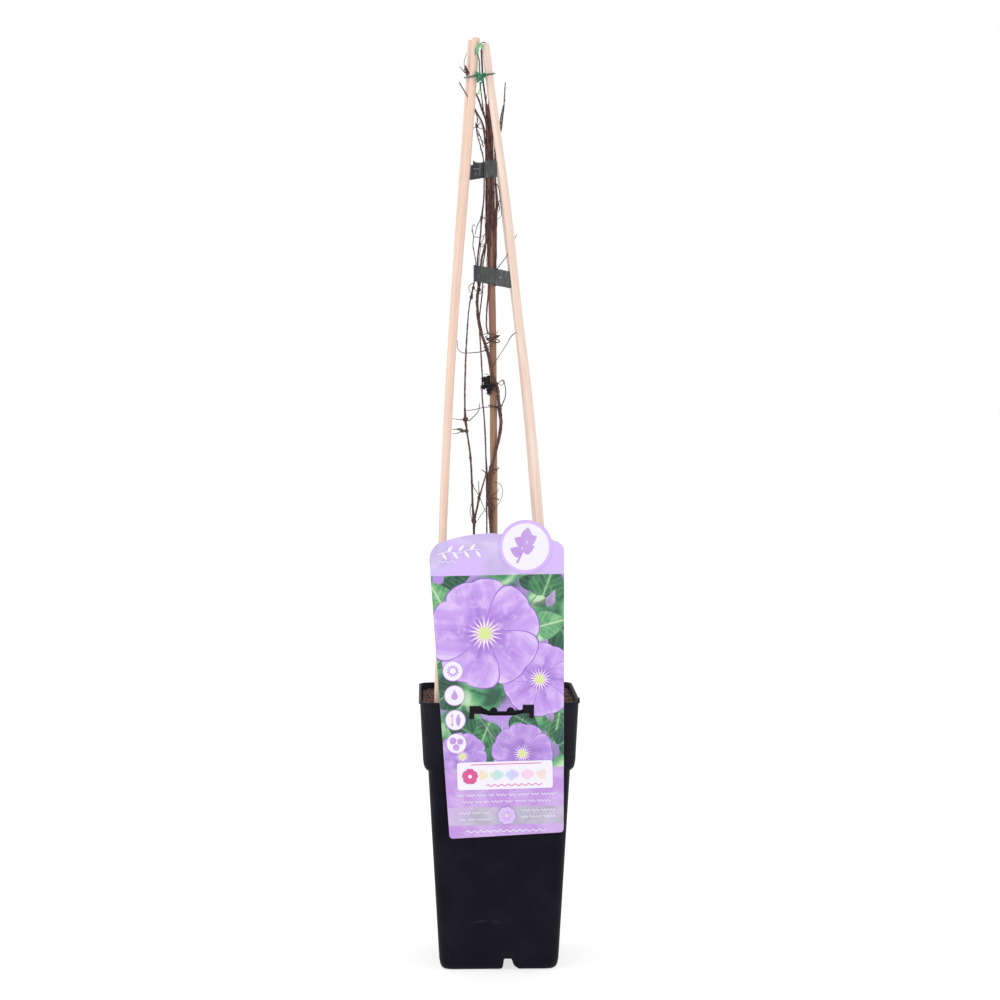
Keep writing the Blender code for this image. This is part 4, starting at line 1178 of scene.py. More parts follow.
BUDS: dict[BudShape, tuple[tuple[Point, Point], ...]] = {
    BudShape.LONG: (((-24.6, 0.5, 727.2), (-0.25, 0, 1)), ((-28.2, -7.8, 438.2), (-1, -0.2, 0.25))),
    BudShape.PLUMP: (((-25.8, 0.2, 731.4), (-0.7, -0.2, 1)), ((-27.8, -8, 437), (-1, -0.3, -0.35))),
    BudShape.TINY: (((-27.6, -7.6, 447.4), (-0.8, -0.3, 0.7)), ((-25.2, -8, 447.6), (0.7, -0.5, 0.9)),
                    ((-18.4, -8.8, 365.8), (0.7, -0.4, 0.9)), ((-20.8, -8.6, 365.4), (-0.7, -0.3, 0.9)),
                    ((3.2, -3, 457.6), (0.9, -0.3, 0.7)), ((-10.6, -5.4, 505.4), (-0.8, -0.5, 0.7)),
                    ((1.2, -3, 624.6), (0.7, -0.4, 0.9)), ((15.2, -6, 517.6), (0.9, 0, 0.4)),
                    ((-20.8, -4.6, 548.2), (0.7, -0.5, 0.9)), ((-17.4, -5.2, 687), (-0.6, -0.4, 1)))}


@dataclass
class DriedTuft:
    """The withered leaf that is caught between the cane and the stems."""

    blades: tuple[tuple[Point, Point], ...] = (
        ((-8.4, -4.6, 476), (2.1, 1.4, 3.4)), ((-7, -5.6, 470), (1.5, 1.0, 2.2)),
        ((-10.8, -4.2, 479.6), (1.2, 0.9, 1.8)), ((-5, -6.2, 473.6), (1.5, 0.9, 2.0)),
        ((-11, -4.6, 474), (0.9, 0.8, 1.6)), ((-7.6, -5, 481), (1.3, 0.8, 1.3)))
    curls: int = 44
    seed: int = 5

    def build(self) -> Piece:
        """Crumpled blades with stalks that curl out of them."""
        pieces = []
        for number, (place, size) in enumerate(self.blades):
            blade = settle(begin(bpy.ops.mesh.primitive_ico_sphere_add, subdivisions=4, radius=MM,
                                 scale=size, location=Vector(place) * MM), "blade")
            roughen(blade, 1.9, 1.1, number + 1.0)
            pieces.append(blade)
        chance = random.Random(self.seed)
        routes = []
        for _ in range(self.curls):
            centre = Vector(chance.choice(self.blades)[0])
            heading = Vector((chance.gauss(0, 1), chance.gauss(-0.5, 0.5), chance.gauss(0, 1)))
            heading.normalize()
            turn = Matrix.Rotation(chance.choice((-1, 1)) * chance.uniform(0.35, 0.85), 3,
                                   Vector((chance.gauss(0, 0.3), 1, chance.gauss(0, 0.3))))
            points = [tuple(centre)]
            for _ in range(7):
                centre = centre + heading * 0.8
                heading = turn @ heading
                points.append(tuple(centre))
            routes.append(Route(tuple(points), 0.36, 0.18))
        pieces.append(tubes("curls", routes, 4, 2))
        tuft = join("withered_leaf", pieces)
        smooth(tuft, 60)
        return tuft


@dataclass
class Vine:
    """The dormant shoots, with their nodes, buds, dried stalks and fraying bark."""

    stems: tuple[Stem, ...] = (MAIN, INNER, LEFT, CANE_SHOOT, RIGHT)
    strands: int = 74
    cover: int = 28
    seed: int = 23
    bark: Bark = Bark("stem_bark", tint("2c1e24"), tint("5c3c38"), tint("8c665a"))
    stalk: Bark = Bark("dried_stalk", tint("24181e"), tint("3e2a2c"), tint("5c4440"), 0.9, 0.15,
                       own_map=False)
    husk: Bark = Bark("bud_husk", tint("3a2c2a"), tint("6c5850"), tint("96847a"), 0.4, 0.25, own_map=False)

    def build_stem(self, stem: Stem) -> None:
        """One stem with what grows from it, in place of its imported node."""
        pieces = []
        for line in (stem.line, *stem.shoots):
            tube = tubes("shoot", [line], 12, max(4, round(line.length() / len(line.points))))
            roughen(tube, 0.22 * line.start, 2.4)
            pieces.append(dress(tube, self.bark))
        if stem.stalks:
            pieces.append(dress(tubes("stalks", stem.stalks, 6, 5), self.stalk))
        fit(join(stem.name, pieces), Slot.BARK, stem.stands_for)

    def build_knuckles(self) -> Piece:
        """Swollen nodes, one shape copied at each place."""
        knuckle = settle(begin(bpy.ops.mesh.primitive_ico_sphere_add, subdivisions=3, radius=MM), "knuckle")
        roughen(knuckle, 0.3, 0.9)
        copies = []
        for number, (place, width, height) in enumerate(KNUCKLES):
            move = Matrix.Translation(Vector(place) * MM) @ Matrix.Rotation(number * 1.3, 4, "Z")
            copies.append(copy(knuckle, move @ Matrix.Diagonal((width, width * 0.85, height * 1.2, 1))))
        bpy.data.objects.remove(knuckle)
        return join("nodes", copies)

    def build_buds(self) -> Piece:
        """Pointed buds in the nodes."""
        buds = []
        for (width, length), place, heading in (
                (shape.value, *spot) for shape, spots in BUDS.items() for spot in spots):
            bud = begin(bpy.ops.mesh.primitive_uv_sphere_add, segments=14, ring_count=12, radius=MM)
            for corner in bud.data.vertices:
                rise = max(0.0, (corner.co.z / MM + 1) / 2)
                slim = width * (1 - 0.75 * rise ** 1.6)
                ridge = 1 + 0.1 * sin(5 * atan2(corner.co.y, corner.co.x))
                corner.co = Vector((corner.co.x * slim * ridge, corner.co.y * slim * ridge,
                                    rise * length * MM))
            turn = Vector(heading).to_track_quat("Z", "Y").to_matrix().to_4x4()
            bud.data.transform(Matrix.Translation(Vector(place) * MM) @ turn)
            buds.append(bud)
        return join("buds", buds)

    def build_strands(self) -> Piece:
        """Threads of bark that peel from the stems, most of them where they are tied."""
        chance = random.Random(self.seed)
        routes = []
        for number in range(self.strands):
            line = chance.choice((MAIN, INNER, CANE_SHOOT, RIGHT)).line if number % 3 else MAIN.line
            low = chance.uniform(560, 690) if number % 3 else chance.uniform(356, 530)
            high = min(low + chance.uniform(16, 58), 704)
            angle, drift = chance.uniform(0, tau), chance.gauss(0, 0.35)
            points = []
            count = max(3, round((high - low) / 7))
            for i in range(count + 1):
                centre = line.at_height(low + (high - low) * i / count)
                loose = 0.9 * max(0.0, abs(2 * i / count - 1) - 0.6)
                points.append(beside(centre, 0.95 + 0.25 * chance.random() + loose, angle))
                angle += drift
            routes.append(Route(tuple(points), chance.uniform(0.18, 0.34), 0.14))
        for number in range(self.cover):
            low = chance.uniform(650, 676) if number % 2 else chance.uniform(578, 622)
            angle = chance.uniform(-2.9, -0.2)
            points = []
            for rise in (0, 12, 25, 36, 48):
                z = low + rise
                centre = CANE_LINE.at_height(z)
                centre.z = z
                out = CANE_RADIUS + 0.5 if z < 702 else chance.uniform(0.5, 3)
                points.append(beside(centre, out, angle))
                angle += chance.gauss(0, 0.12)
            routes.append(Route(tuple(points), chance.uniform(0.3, 0.6), 0.2))
        return tubes("bark_threads", routes, 4, 3)

    def build(self) -> None:
        """Make and dress the whole vine."""
        for stem in self.stems:
            self.build_stem(stem)
        bark = Bark("node_bark", self.bark.dark, self.bark.mid, self.bark.light, 0.8, 0.3, False)
        thread = Bark("bark_thread", tint("3e2628"), tint("7c5248"), tint("b08876"), 1.4, 0.1, False)
        blade = Bark("withered_blade", tint("120e14"), tint("241a20"), tint("3e2e2e"), 1.0, 0.3, False)
        for piece, finish in ((self.build_knuckles(), bark), (self.build_buds(), self.husk),
                              (self.build_strands(), thread),
                              (tubes("tendrils", TENDRILS, 6, 5), self.stalk),
                              (DriedTuft().build(), blade)):
            fit(dress(piece, finish), Slot.BARK)


LAYER = 0.006

WHITE = tint("e6e2f3")
LILAC = tint("d2baf0")
PURPLE = tint("b98cd5")


@dataclass(frozen=True)
class Ink(Finish):
    """One printed colour on glossy card."""

    name: str
    colour: Colour
    fade: float = 0.12

    def coat(self, paint: Paint) -> None:
        """Set the nodes."""
        spot = paint.place()
        grain = paint.cloud(spot, 0.5, 2.0)
        colour = paint.mix(paint.cloud(spot, 12.0, 3.0).rise(0.4, 0.68) * self.fade, self.colour, WHITE)
        paint.finish(colour, 0.36 + grain * 0.14, grain, 0.01)


@dataclass(frozen=True)
class PrintedGarden(Finish):
    """A garden out of focus, in several greens with patches of lilac, under a pale veil."""

    name: str
    veil: float = 0.0
    cover: Colour = LILAC

    def coat(self, paint: Paint) -> None:
        """Set the nodes."""
        spot = paint.place((1, 0, 1))
        leaves = paint.cloud(spot, 19.0, 1.5, 0.4, 0.5)
        shadows = paint.cloud(paint.place((0.8, 0, 1.3), shift=(3, 0, 8)), 12.0, 1.0, 0.4, 0.6)
        blooms = paint.cloud(paint.place((0.9, 0, 0.8), shift=(40, 0, 5)), 31.0, 1.5, 0.4, 0.7)
        grain = paint.cloud(spot, 0.8, 2.0)
        colour = paint.ramp(leaves, [(0.34, tint("20543c")), (0.45, tint("3a8056")),
                                     (0.56, tint("68a876")), (0.68, tint("bad8b0"))])
        colour = paint.mix(shadows.rise(0.52, 0.66) * 0.75, colour, tint("183e30"))
        colour = paint.mix(blooms.rise(0.5, 0.62) * 0.92, colour, tint("b088d8"))
        colour = paint.mix(grain.rise(0.5, 0.8) * 0.14, colour, WHITE)
        colour = paint.mix(self.veil, colour, self.cover)
        paint.finish(colour, 0.36 + grain * 0.14, grain, 0.01)


@dataclass(frozen=True)
class PrintedPetal(Finish):
    """A lilac petal with a darker bar, fine veins and a pale edge."""

    name: str = "printed_petal"
    lilac: Colour = tint("be98e2")
    deep: Colour = tint("986aca")
    pale: Colour = tint("dec8f2")

    def coat(self, paint: Paint) -> None:
        """Set the nodes."""
        spot = paint.place(own_map=True)
        across, along = abs(paint.axis(spot, 0)), paint.axis(spot, 1)
        veins = paint.cloud(paint.place((7, 0.7, 1), own_map=True), 1.0, 3.0, 0.6, 0.2)
        light = paint.cloud(paint.place((1, 0, 1)), 9.0, 2.0)
        bar = across.rise(0.3, 0.02) * along.rise(1.0, 0.5)
        colour = paint.mix(along.rise(0.0, 0.62), self.deep, self.lilac)
        colour = paint.mix(bar * 0.75, colour, self.deep)
        colour = paint.mix(veins.rise(0.5, 0.68) * 0.4, colour, self.deep)
        colour = paint.mix(veins.rise(0.5, 0.3) * 0.35, colour, self.pale)
        colour = paint.mix(light.rise(0.46, 0.7) * 0.45, colour, self.pale)
        colour = paint.mix(across.rise(0.62, 1.0) * 0.55 + along.rise(0.9, 1.0) * 0.4, colour, self.pale)
        paint.finish(colour, 0.36 + veins * 0.12, veins, 0.01)


@dataclass(frozen=True)
class PrintedLeaf(Finish):
    """A leaf with a pale midrib and side veins."""

    name: str
    green: Colour
    dark: Colour
    rib: Colour = tint("96c48c")

    def coat(self, paint: Paint) -> None:
        """Set the nodes."""
        spot = paint.place(own_map=True)
        across, along = abs(paint.axis(spot, 0)), paint.axis(spot, 1)
        shade = paint.cloud(paint.place((1, 0, 1)), 8.0, 3.0)
        slant = (along - across * 0.45) * 34
        wave = slant.calculate("SINE", slant)
        colour = paint.mix(shade.rise(0.34, 0.66), self.dark, self.green)
        colour = paint.mix(across * 0.45, colour, self.dark)
        colour = paint.mix(wave.rise(0.86, 1.0) * 0.35, colour, self.rib)
        colour = paint.mix(across.rise(0.09, 0.02) * 0.8, colour, self.rib)
        paint.finish(colour, 0.36 + shade * 0.12, shade, 0.01)


def rounded(points: Sequence[Flat], steps: int = 4) -> list[Flat]:
    """A smooth closed outline through some points."""
    outline = []
    for i in range(len(points)):
        a, b, c, d = (Vector(points[(i + k) % len(points)]) for k in range(-1, 3))
        for step in range(steps):
            t = step / steps
            spot = ((b * 2) + (c - a) * t + (a * 2 - b * 5 + c * 4 - d) * t * t
                    + (b * 3 - a - c * 3 + d) * t ** 3) / 2
            outline.append((spot.x, spot.y))
    return outline


def mirrored(side: Sequence[Flat]) -> list[Flat]:
    """An outline from its right side, given upwards from the foot to the tip."""
    return [*side, *((-x, z) for x, z in reversed(side) if x > 0)]


def star(count: int, inner: float, outer: float) -> list[Flat]:
    """An outline with a number of points."""
    outline = []
    for i in range(2 * count):
        angle, reach = pi * i / count, outer if i % 2 else inner
        outline.append((reach * sin(angle), reach * cos(angle)))
    return outline


def tablet(width: float, height: float, corner: float) -> list[Flat]:
    """A rectangle with round corners, about its middle."""
    x, z = width / 2 - corner, height / 2 - corner
    return [spot for centre, start in (((x, z), 0), ((-x, z), 90), ((-x, -z), 180), ((x, -z), 270))
            for spot in arc(centre, corner, start, start + 90, 6)]


def ripple(start: Flat, end: Flat, height: float, period: float) -> tuple[Point, ...]:
    """Points of a wavy line on the card."""
    run = Vector(end) - Vector(start)
    count = max(2, round(4 * run.length / period))
    points = []
    for i in range(count + 1):
        spot = Vector(start) + run * i / count
        points.append((spot.x, 0.0, spot.y + height * sin(tau * i / 4)))
    return tuple(points)


def within(outline: Sequence[Flat], field: Sequence[Flat]) -> list[Flat]:
    """What is left of an outline inside a field.

    Args:
        outline: a closed outline.
        field: corners of a field that bulges everywhere, counter-clockwise.

    Returns:
        The outline cut off at each of the field's edges.
    """
    left = [Vector(spot) for spot in outline]
    for start, end in zip(field, (*field[1:], field[0])):
        normal = Vector((start[1] - end[1], end[0] - start[0])).normalized()
        whole, left = left, []
        for before, here in zip(whole[-1:] + whole, whole):
            depths = [(spot - Vector(start)).dot(normal) for spot in (before, here)]
            if depths[0] * depths[1] < 0:
                left.append(before.lerp(here, depths[0] / (depths[0] - depths[1])))
            if depths[1] >= 0:
                left.append(here)
        if not left:
            break
    return [tuple(spot) for spot in left]


class Print:
    """Flat motifs on the card, each a hair above the ones before it."""

    petal = rounded(mirrored([(0.05, 0.0), (0.15, 0.14), (0.3, 0.32), (0.43, 0.52), (0.49, 0.7),
                              (0.45, 0.86), (0.3, 0.96), (0.12, 1.0), (0.0, 0.975)]))
    leaf = rounded(mirrored([(0.0, 0.05), (0.17, 0.0), (0.36, 0.06), (0.47, 0.2), (0.47, 0.36),
                             (0.38, 0.56), (0.24, 0.76), (0.1, 0.92), (0.0, 1.0)]))
    slim = rounded(mirrored([(0.0, 0.0), (0.12, 0.2), (0.18, 0.45), (0.15, 0.7), (0.0, 1.0)]))
    drop = rounded(mirrored([(0.0, -0.62), (0.34, -0.5), (0.48, -0.18), (0.34, 0.2), (0.12, 0.6),
                             (0.0, 0.9)]))
    disc = arc((0, 0), 1, 0, 352.5, 47)
    arrow = [(0.12, -0.5), (0.4, -0.5), (0.0, -1.0), (-0.4, -0.5), (-0.12, -0.5), (-0.12, 0.5),
             (-0.4, 0.5), (0.0, 1.0), (0.4, 0.5), (0.12, 0.5)]

    def __init__(self, slot: Sequence[Flat]) -> None:
        """Start with a bare card that has a slot."""
        self.pieces: list[Piece] = []
        self.slot = slot
        self.field: Sequence[Flat] = ()

    def lay(self, outline: Sequence[Flat], finish: Finish, place: Flat, size: float = 1.0,
            turn: float = 0.0, own_map: bool = False) -> None:
        """Lay one motif down, cut off at the field's edges and round the slot.

        Args:
            outline: its edge, as drawn upright about (0, 0).
            finish: what it is printed with.
            place: where its (0, 0) goes.
            size: how much it is enlarged.
            turn: how far it is turned clockwise, in degrees.
            own_map: whether the print follows the motif's own shape.
        """
        move = Matrix.Rotation(-radians(turn), 2) * size
        back = move.inverted()
        shape = [tuple(move @ Vector(spot) + Vector(place)) for spot in outline]
        if self.field:
            shape = within(shape, self.field)
        if len(shape) < 3:
            return
        rise = (1 + len(self.pieces)) * LAYER

        def own(x: float, z: float) -> Flat:
            """A point's place on the motif's own map."""
            spot = back @ (Vector((x, z)) - Vector(place))
            return 2 * spot.x, spot.y

        motif = plate("motif", shape, CARD_FRONT - rise, rise + LAYER, own if own_map else None)
        low, high = (tuple(pick(spot[k] for spot in self.slot) for k in (0, 1)) for pick in (min, max))
        if self.field and all(min(spot[k] for spot in shape) < high[k]
                              and max(spot[k] for spot in shape) > low[k] for k in (0, 1)):
            cut(motif, plate("slot", self.slot, CARD_FRONT - 1.5, 3))
        self.pieces.append(dress(motif, finish))

    def draw(self, routes: Sequence[Route], finish: Finish) -> None:
        """Draw lines, given in the card's plane."""
        lines = tubes("lines", routes, 6, 4)
        rise = (1 + len(self.pieces)) * LAYER
        lines.data.transform(Matrix.Translation((0, (CARD_FRONT - rise) * MM, 0))
                             @ Matrix.Diagonal((1, 0.006, 1, 1)))
        self.pieces.append(dress(lines, finish))

    def blossom(self, place: Flat, radius: float, turn: float, petals: int = 5,
                petal: Finish = PrintedPetal(), spread: float = 1.0) -> None:
        """A flower with a fringe of stamens and a round eye."""
        outline = [(x * spread, z) for x, z in self.petal]
        shade = Ink("ink_petal_shade", tint("8e64be"), 0.0)
        for i in range(petals):
            self.lay(outline, shade, place, radius * 1.018, turn - 1.2 + 360 * i / petals)
            self.lay(outline, petal, place, radius, turn + 360 * i / petals, True)
        self.lay(star(19, 0.12, 0.34), Ink("ink_stamen", tint("eedef0")), place, radius, turn)
        self.lay(star(13, 0.09, 0.2), Ink("ink_anther", tint("ceba96")), place, radius, turn + 9)
        self.lay(self.disc, Ink("ink_eye", tint("cede8a")), place, radius * 0.11)


@dataclass
class LabelCard:
    """The label: a stiff card on the pot's hooks, printed with climbing flowers."""

    thickness: float = 0.5
    foot_left: Flat = (-40.6, 111.6)
    foot_right: Flat = (51.3, 116.2)
    corner: float = 3.0
    shoulder_left: Flat = (-56.3, 336.0)
    shoulder_right: Flat = (51.4, 343.0)
    crest: Flat = (-6.0, 357.3)
    badge: Flat = (20.6, 346.5)
    badge_radius: float = 21.4
    badge_face: float = 18.7
    tilt: float = -1.4
    lines: tuple[tuple[Flat, Flat], ...] = (
        ((-56, 323), (51.4, 324.7)), ((-45, 167.4), (51.4, 169.5)), ((-41.6, 136.4), (51.2, 138.0)),
        ((-41.3, 121.8), (50.8, 123.7)))
    icons: tuple[Flat, ...] = ((-37.7, 246.9), (-36.3, 227.2), (-35.6, 207.4), (-34.8, 188.5))
    icon_radius: float = 8.3
    garden: tuple[Flat, ...] = ((-44.1, 167.5), (51.2, 169.6), (51.2, 324.6), (-55.2, 322.9))
    white: Ink = Ink("ink_white", WHITE, 0.0)
    violet: Ink = Ink("ink_violet", tint("b88fd6"))
    pink: Ink = Ink("ink_pink", tint("ce4c8c"), 0.05)
    back: Ink = Ink("ink_bare_card", tint("ece6f2"))
    leaves: tuple[PrintedLeaf, ...] = (
        PrintedLeaf("leaf_mid", tint("468a5c"), tint("265c42")),
        PrintedLeaf("leaf_dark", tint("2c644a"), tint("184032"), tint("68a074")),
        PrintedLeaf("leaf_light", tint("7cb880"), tint("4a8e60"), tint("bedcb0")))

    def outline(self) -> list[Flat]:
        """A tapered sheet with a low arched top and the badge's disc on it."""
        r = self.corner
        edge = arc((self.foot_right[0] - r, self.foot_right[1] + r), r, -88, 0, 6)
        edge += [self.shoulder_right, (51.0, 345.6), (49.8, 347.6), (48.3, 349.2), (46.5, 350.4)]
        edge += arc(self.badge, self.badge_radius, 16, 152, 44)
        bow = (self.crest[1] - 349.4) / (self.crest[0] + 49) ** 2
        edge += [(x, self.crest[1] - bow * (x - self.crest[0]) ** 2)
                 for x in (self.crest[0], -12, -18, -24, -30, -36, -42, -46, -49)]
        edge += [(-51.6, 347.6), (-53.6, 345.0), (-55.0, 342.6), (-55.8, 340.6), self.shoulder_left]
        return edge + arc((self.foot_left[0] + r, self.foot_left[1] + r), r, 176, 272, 6)

    def slot(self) -> list[Flat]:
        """The opening for the hooks: a band with two thumb notches and room at both ends."""
        left, right = NurseryPot.hooks
        (left_a, left_b, left_low, left_high), (right_a, right_b, right_low, right_high) = left, right
        edge = [(left_a + 0.6, left_low + 0.6), (left_b - 1, left_low + 0.2), (-8.2, 210.8), (11.7, 210.8),
                (right_a + 0.6, right_low), (right_b - 0.6, right_low + 0.6),
                (right_b - 0.6, right_high - 0.6), (right_a + 0.6, right_high - 0.6),
                (right_a - 0.4, 215.8)]
        edge += arc((8.5, 214.4), 3.2, 0, 180, 12) + arc((-5.0, 214.4), 3.1, 0, 180, 12)
        return edge + [(left_b + 0.2, left_high - 0.6), (left_a + 0.6, left_high - 0.6)]

    def zone(self, spot: Vector) -> int:
        """How many of the dividing lines lie above a place in millimetres."""
        return sum(spot.z < a[1] + (b[1] - a[1]) * (spot.x - a[0]) / (b[0] - a[0]) for a, b in self.lines)

    def build_sheet(self) -> Piece:
        """The card itself, its face divided into printed fields."""
        sheet = plate("picture_label", self.outline(), CARD_FRONT, self.thickness)
        cut(sheet, plate("slot", self.slot(), CARD_FRONT - 1, self.thickness + 2))
        with edited(sheet):
            for (x, z), (end_x, end_z) in self.lines:
                bpy.ops.mesh.select_all(action="SELECT")
                bpy.ops.mesh.bisect(plane_co=Vector((x, 0, z)) * MM,
                                    plane_no=Vector((z - end_z, 0, end_x - x)).normalized())
        sheet.data.materials.clear()
        band = Ink("ink_band", PURPLE, 0.25)
        for finish in (PrintedGarden("printed_header", 0.8), PrintedGarden("printed_garden"), band,
                       PrintedGarden("printed_strip", 0.72, tint("cab8d8")), band, self.back):
            sheet.data.materials.append(material_of(finish))
        for face in sheet.data.polygons:
            facing = face.normal.y < -0.5
            face.material_index = self.zone(face.center / MM) if facing else len(self.lines) + 1
        return sheet

    def print_garden(self, sheet: Print) -> None:
        """The picture: round-petalled flowers on stems that climb past leaves."""
        sheet.field = self.garden
        for place, size, turn, shade in (
                ((48, 214), 26, 190, 0), ((-8, 206), 27, -158, 0), ((46, 186), 24, 60, 1),
                ((-44, 296), 26, -30, 2), ((-46, 322), 26, 75, 1), ((-34, 232), 27, -120, 1),
                ((14, 322), 28, 70, 1), ((-22, 196), 24, -60, 1), ((34, 306), 30, 20, 0),
                ((48, 282), 30, 150, 1), ((10, 212), 24, 120, 1), ((20, 204), 22, -160, 2),
                ((-38, 268), 26, -140, 0), ((30, 282), 24, 75, 2), ((-30, 176), 20, 100, 2)):
            sheet.lay(sheet.leaf, self.leaves[shade], place, size, turn, True)
        stems = (
            Route(((14, 0, 172), (33, 0, 186), (41, 0, 206), (42, 0, 228), (36, 0, 256), (22, 0, 282),
                   (24, 0, 300), (34, 0, 312)), 0.9, 0.45),
            Route(((-4, 0, 171), (-6, 0, 188), (-10, 0, 204)), 0.7, 0.6),
            Route(((34, 0, 312), (38, 0, 316), (41, 0, 314), (40, 0, 310), (37.5, 0, 311.5)), 0.4, 0.2),
            Route(((41, 0, 206), (46, 0, 210), (48.5, 0, 207), (47, 0, 203), (44.5, 0, 205)), 0.4, 0.2))
        sheet.draw(stems, Ink("ink_stem", tint("5c8054")))
        bud = PrintedPetal("printed_bud", tint("ac92c4"), tint("8270a0"), tint("ced6ba"))
        for place, size, turn in (((38, 298), 15, 24), ((42, 206), 12, -20)):
            sheet.lay(sheet.slim, bud, place, size, turn, True)
            sheet.lay([(x * 1.8, z) for x, z in sheet.slim], bud, place, size * 0.8, turn, True)
        far = PrintedPetal("printed_far_petal", tint("b08ad6"), tint("8c62bc"), tint("ceb4e8"))
        sheet.blossom((18, 180), 24, 8, petal=far, spread=1.12)
        sheet.blossom((-30, 178), 19, 40, petal=far, spread=1.12)
        sheet.blossom((32, 240), 29, 22, spread=1.12)
        sheet.blossom((-12, 277), 43, -14, spread=1.12)
        sheet.field = ()

    def print_icons(self, sheet: Print) -> None:
        """Four round signs on the left: sun, drop, height, and many flowers."""
        for place in self.icons:
            sheet.lay(sheet.disc, self.violet, place, self.icon_radius)
            sheet.lay(sheet.disc, self.white, place, self.icon_radius - 0.6)
        sun, drop, height, many = self.icons
        sheet.lay(star(12, 0.62, 1.0), self.violet, sun, 5.4)
        sheet.lay(sheet.disc, self.white, sun, 2.5)
        sheet.lay(sheet.drop, self.violet, drop, 5.6)
        sheet.lay([(0.5 * x, z) for x, z in sheet.arrow], self.violet, (height[0] - 2.6, height[1]), 5.6)
        sheet.lay(sheet.slim, self.violet, (height[0] + 2.2, height[1] - 5), 10)
        for x, z, size in ((-2.8, 2.2, 2.9), (3.0, 1.6, 2.5), (-0.2, -3.2, 2.7)):
            for i in range(5):
                sheet.lay(sheet.petal, self.violet, (many[0] + x, many[1] + z), size, 72 * i)

    def print_badge(self, sheet: Print) -> None:
        """The round field at the top, with a sprig of five leaves."""
        x, z = self.badge
        sheet.lay(sheet.disc, Ink("ink_badge_rim", tint("cdacea")), self.badge, self.badge_radius - 0.2)
        sheet.lay(sheet.disc, self.white, self.badge, self.badge_face)
        sheet.draw([Route(((x - 7, 0, z - 13), (x - 3.5, 0, z - 6), (x - 0.5, 0, z + 1),
                           (x + 0.5, 0, z + 8)), 1.1, 0.6)], self.violet)
        for dx, dz, size, turn in ((0.5, 6, 9.5, 8), (-0.6, 2.4, 9.5, -62), (0.9, 4, 9, 62),
                                   (-3.6, -5.4, 9.5, -66), (-2, -2.6, 9.5, 72)):
            sheet.lay(sheet.leaf, self.violet, (x + dx, z + dz), size, turn)

    def print_ornaments(self, sheet: Print) -> None:
        """The sprig in the header, the pale panel, wavy lines and small flowers under it."""
        sheet.draw([Route(((-49.5, 0, 340.2), (-42, 0, 342.6), (-33, 0, 341.6), (-24, 0, 344.4),
                           (-15.5, 0, 344.2)), 0.45, 0.3),
                    Route(ripple((-49, 334.2), (-35, 334.8), 0.7, 4.5), 0.35, 0.35)], self.white)
        for i, x in enumerate((-46.5, -42, -37.5, -33, -28.5, -24, -19.5)):
            sheet.lay(sheet.slim, self.white, (x, 341.6 + 0.08 * (x + 46)), 7.0, 38 if i % 2 else 142)
        sheet.lay(tablet(76.6, 22.3, 2.2), self.white, (4.1, 162.8), 1.0, self.tilt)
        sheet.draw([Route(((-23.3, 0, 171.2), (33, 0, 172.7)), 0.4, 0.4),
                    Route(ripple((-11, 154.4), (34, 155.6), 0.8, 5.5), 0.4, 0.4)], self.pink)
        for i in range(5):
            sheet.lay(sheet.petal, self.pink, (-24, 161.8), 6.4, 72 * i)
        sheet.lay(sheet.disc, self.white, (-24, 161.8), 1.5)
        pastels = ("e2d6be", "c8dac4", "b6d8d6", "b8cee6", "c6c4ea", "dec4e8", "eac6d8", "e6d2c8")
        for i, shade in enumerate(pastels):
            sheet.lay(sheet.leaf, Ink(f"ink_pastel_{i}", tint(shade), 0.0),
                      (-12 + 6.2 * i, 160.0 + 0.15 * i), 8.0, 40 if i % 2 else -30)
        rows = ((146.9, (-34, -27, -18, -9, -3, 7, 14, 25, 33, 46)),
                (141.6, (-30, -20, -13, -7, 4, 12, 23, 30, 42)), (132.6, (-33, -22, -14, -6)),
                (127.4, (-33, -26, -18, -6)), (134.0, (17, 26, 33, 46)), (128.8, (17, 24, 35, 47)))
        waves = [Route(ripple((a, z + 0.02 * a), (b - 1.6, z + 0.02 * b), 0.75, 2.6), 0.32, 0.32)
                 for z, ends in rows for a, b in zip(ends, ends[1:])]
        waves.append(Route(ripple((-27, 117.2), (37, 118.6), 0.8, 5.2), 0.42, 0.42))
        sheet.draw(waves, self.white)
        pale = PrintedPetal("printed_pale_petal", tint("d4baec"), tint("bc9cde"))
        sheet.blossom((5.5, 130.2), 7.2, 10, 8, pale, 0.7)

    def print_score(self, sheet: Print) -> None:
        """The fine cuts under the slot, drawn as thin lines on the card face."""
        sheet.draw([Route(((-16.7, 0, 209.6), (2.5, 0, 182.6)), 0.13, 0.13),
                    Route(((19.4, 0, 209.6), (2.5, 0, 182.6)), 0.13, 0.13),
                    Route(((2.0, 0, 207), (2.0, 0, 191)), 0.13, 0.13)], Ink("ink_score", tint("d6cede")))

    def build(self) -> None:
        """Make, print and fit the label."""
        sheet = Print(self.slot())
        for step in (self.print_garden, self.print_icons, self.print_badge, self.print_ornaments,
                     self.print_score):
            step(sheet)
        card = join("picture_label", [self.build_sheet(), *sheet.pieces])
        fit(card, Slot.CARD, "label_card")


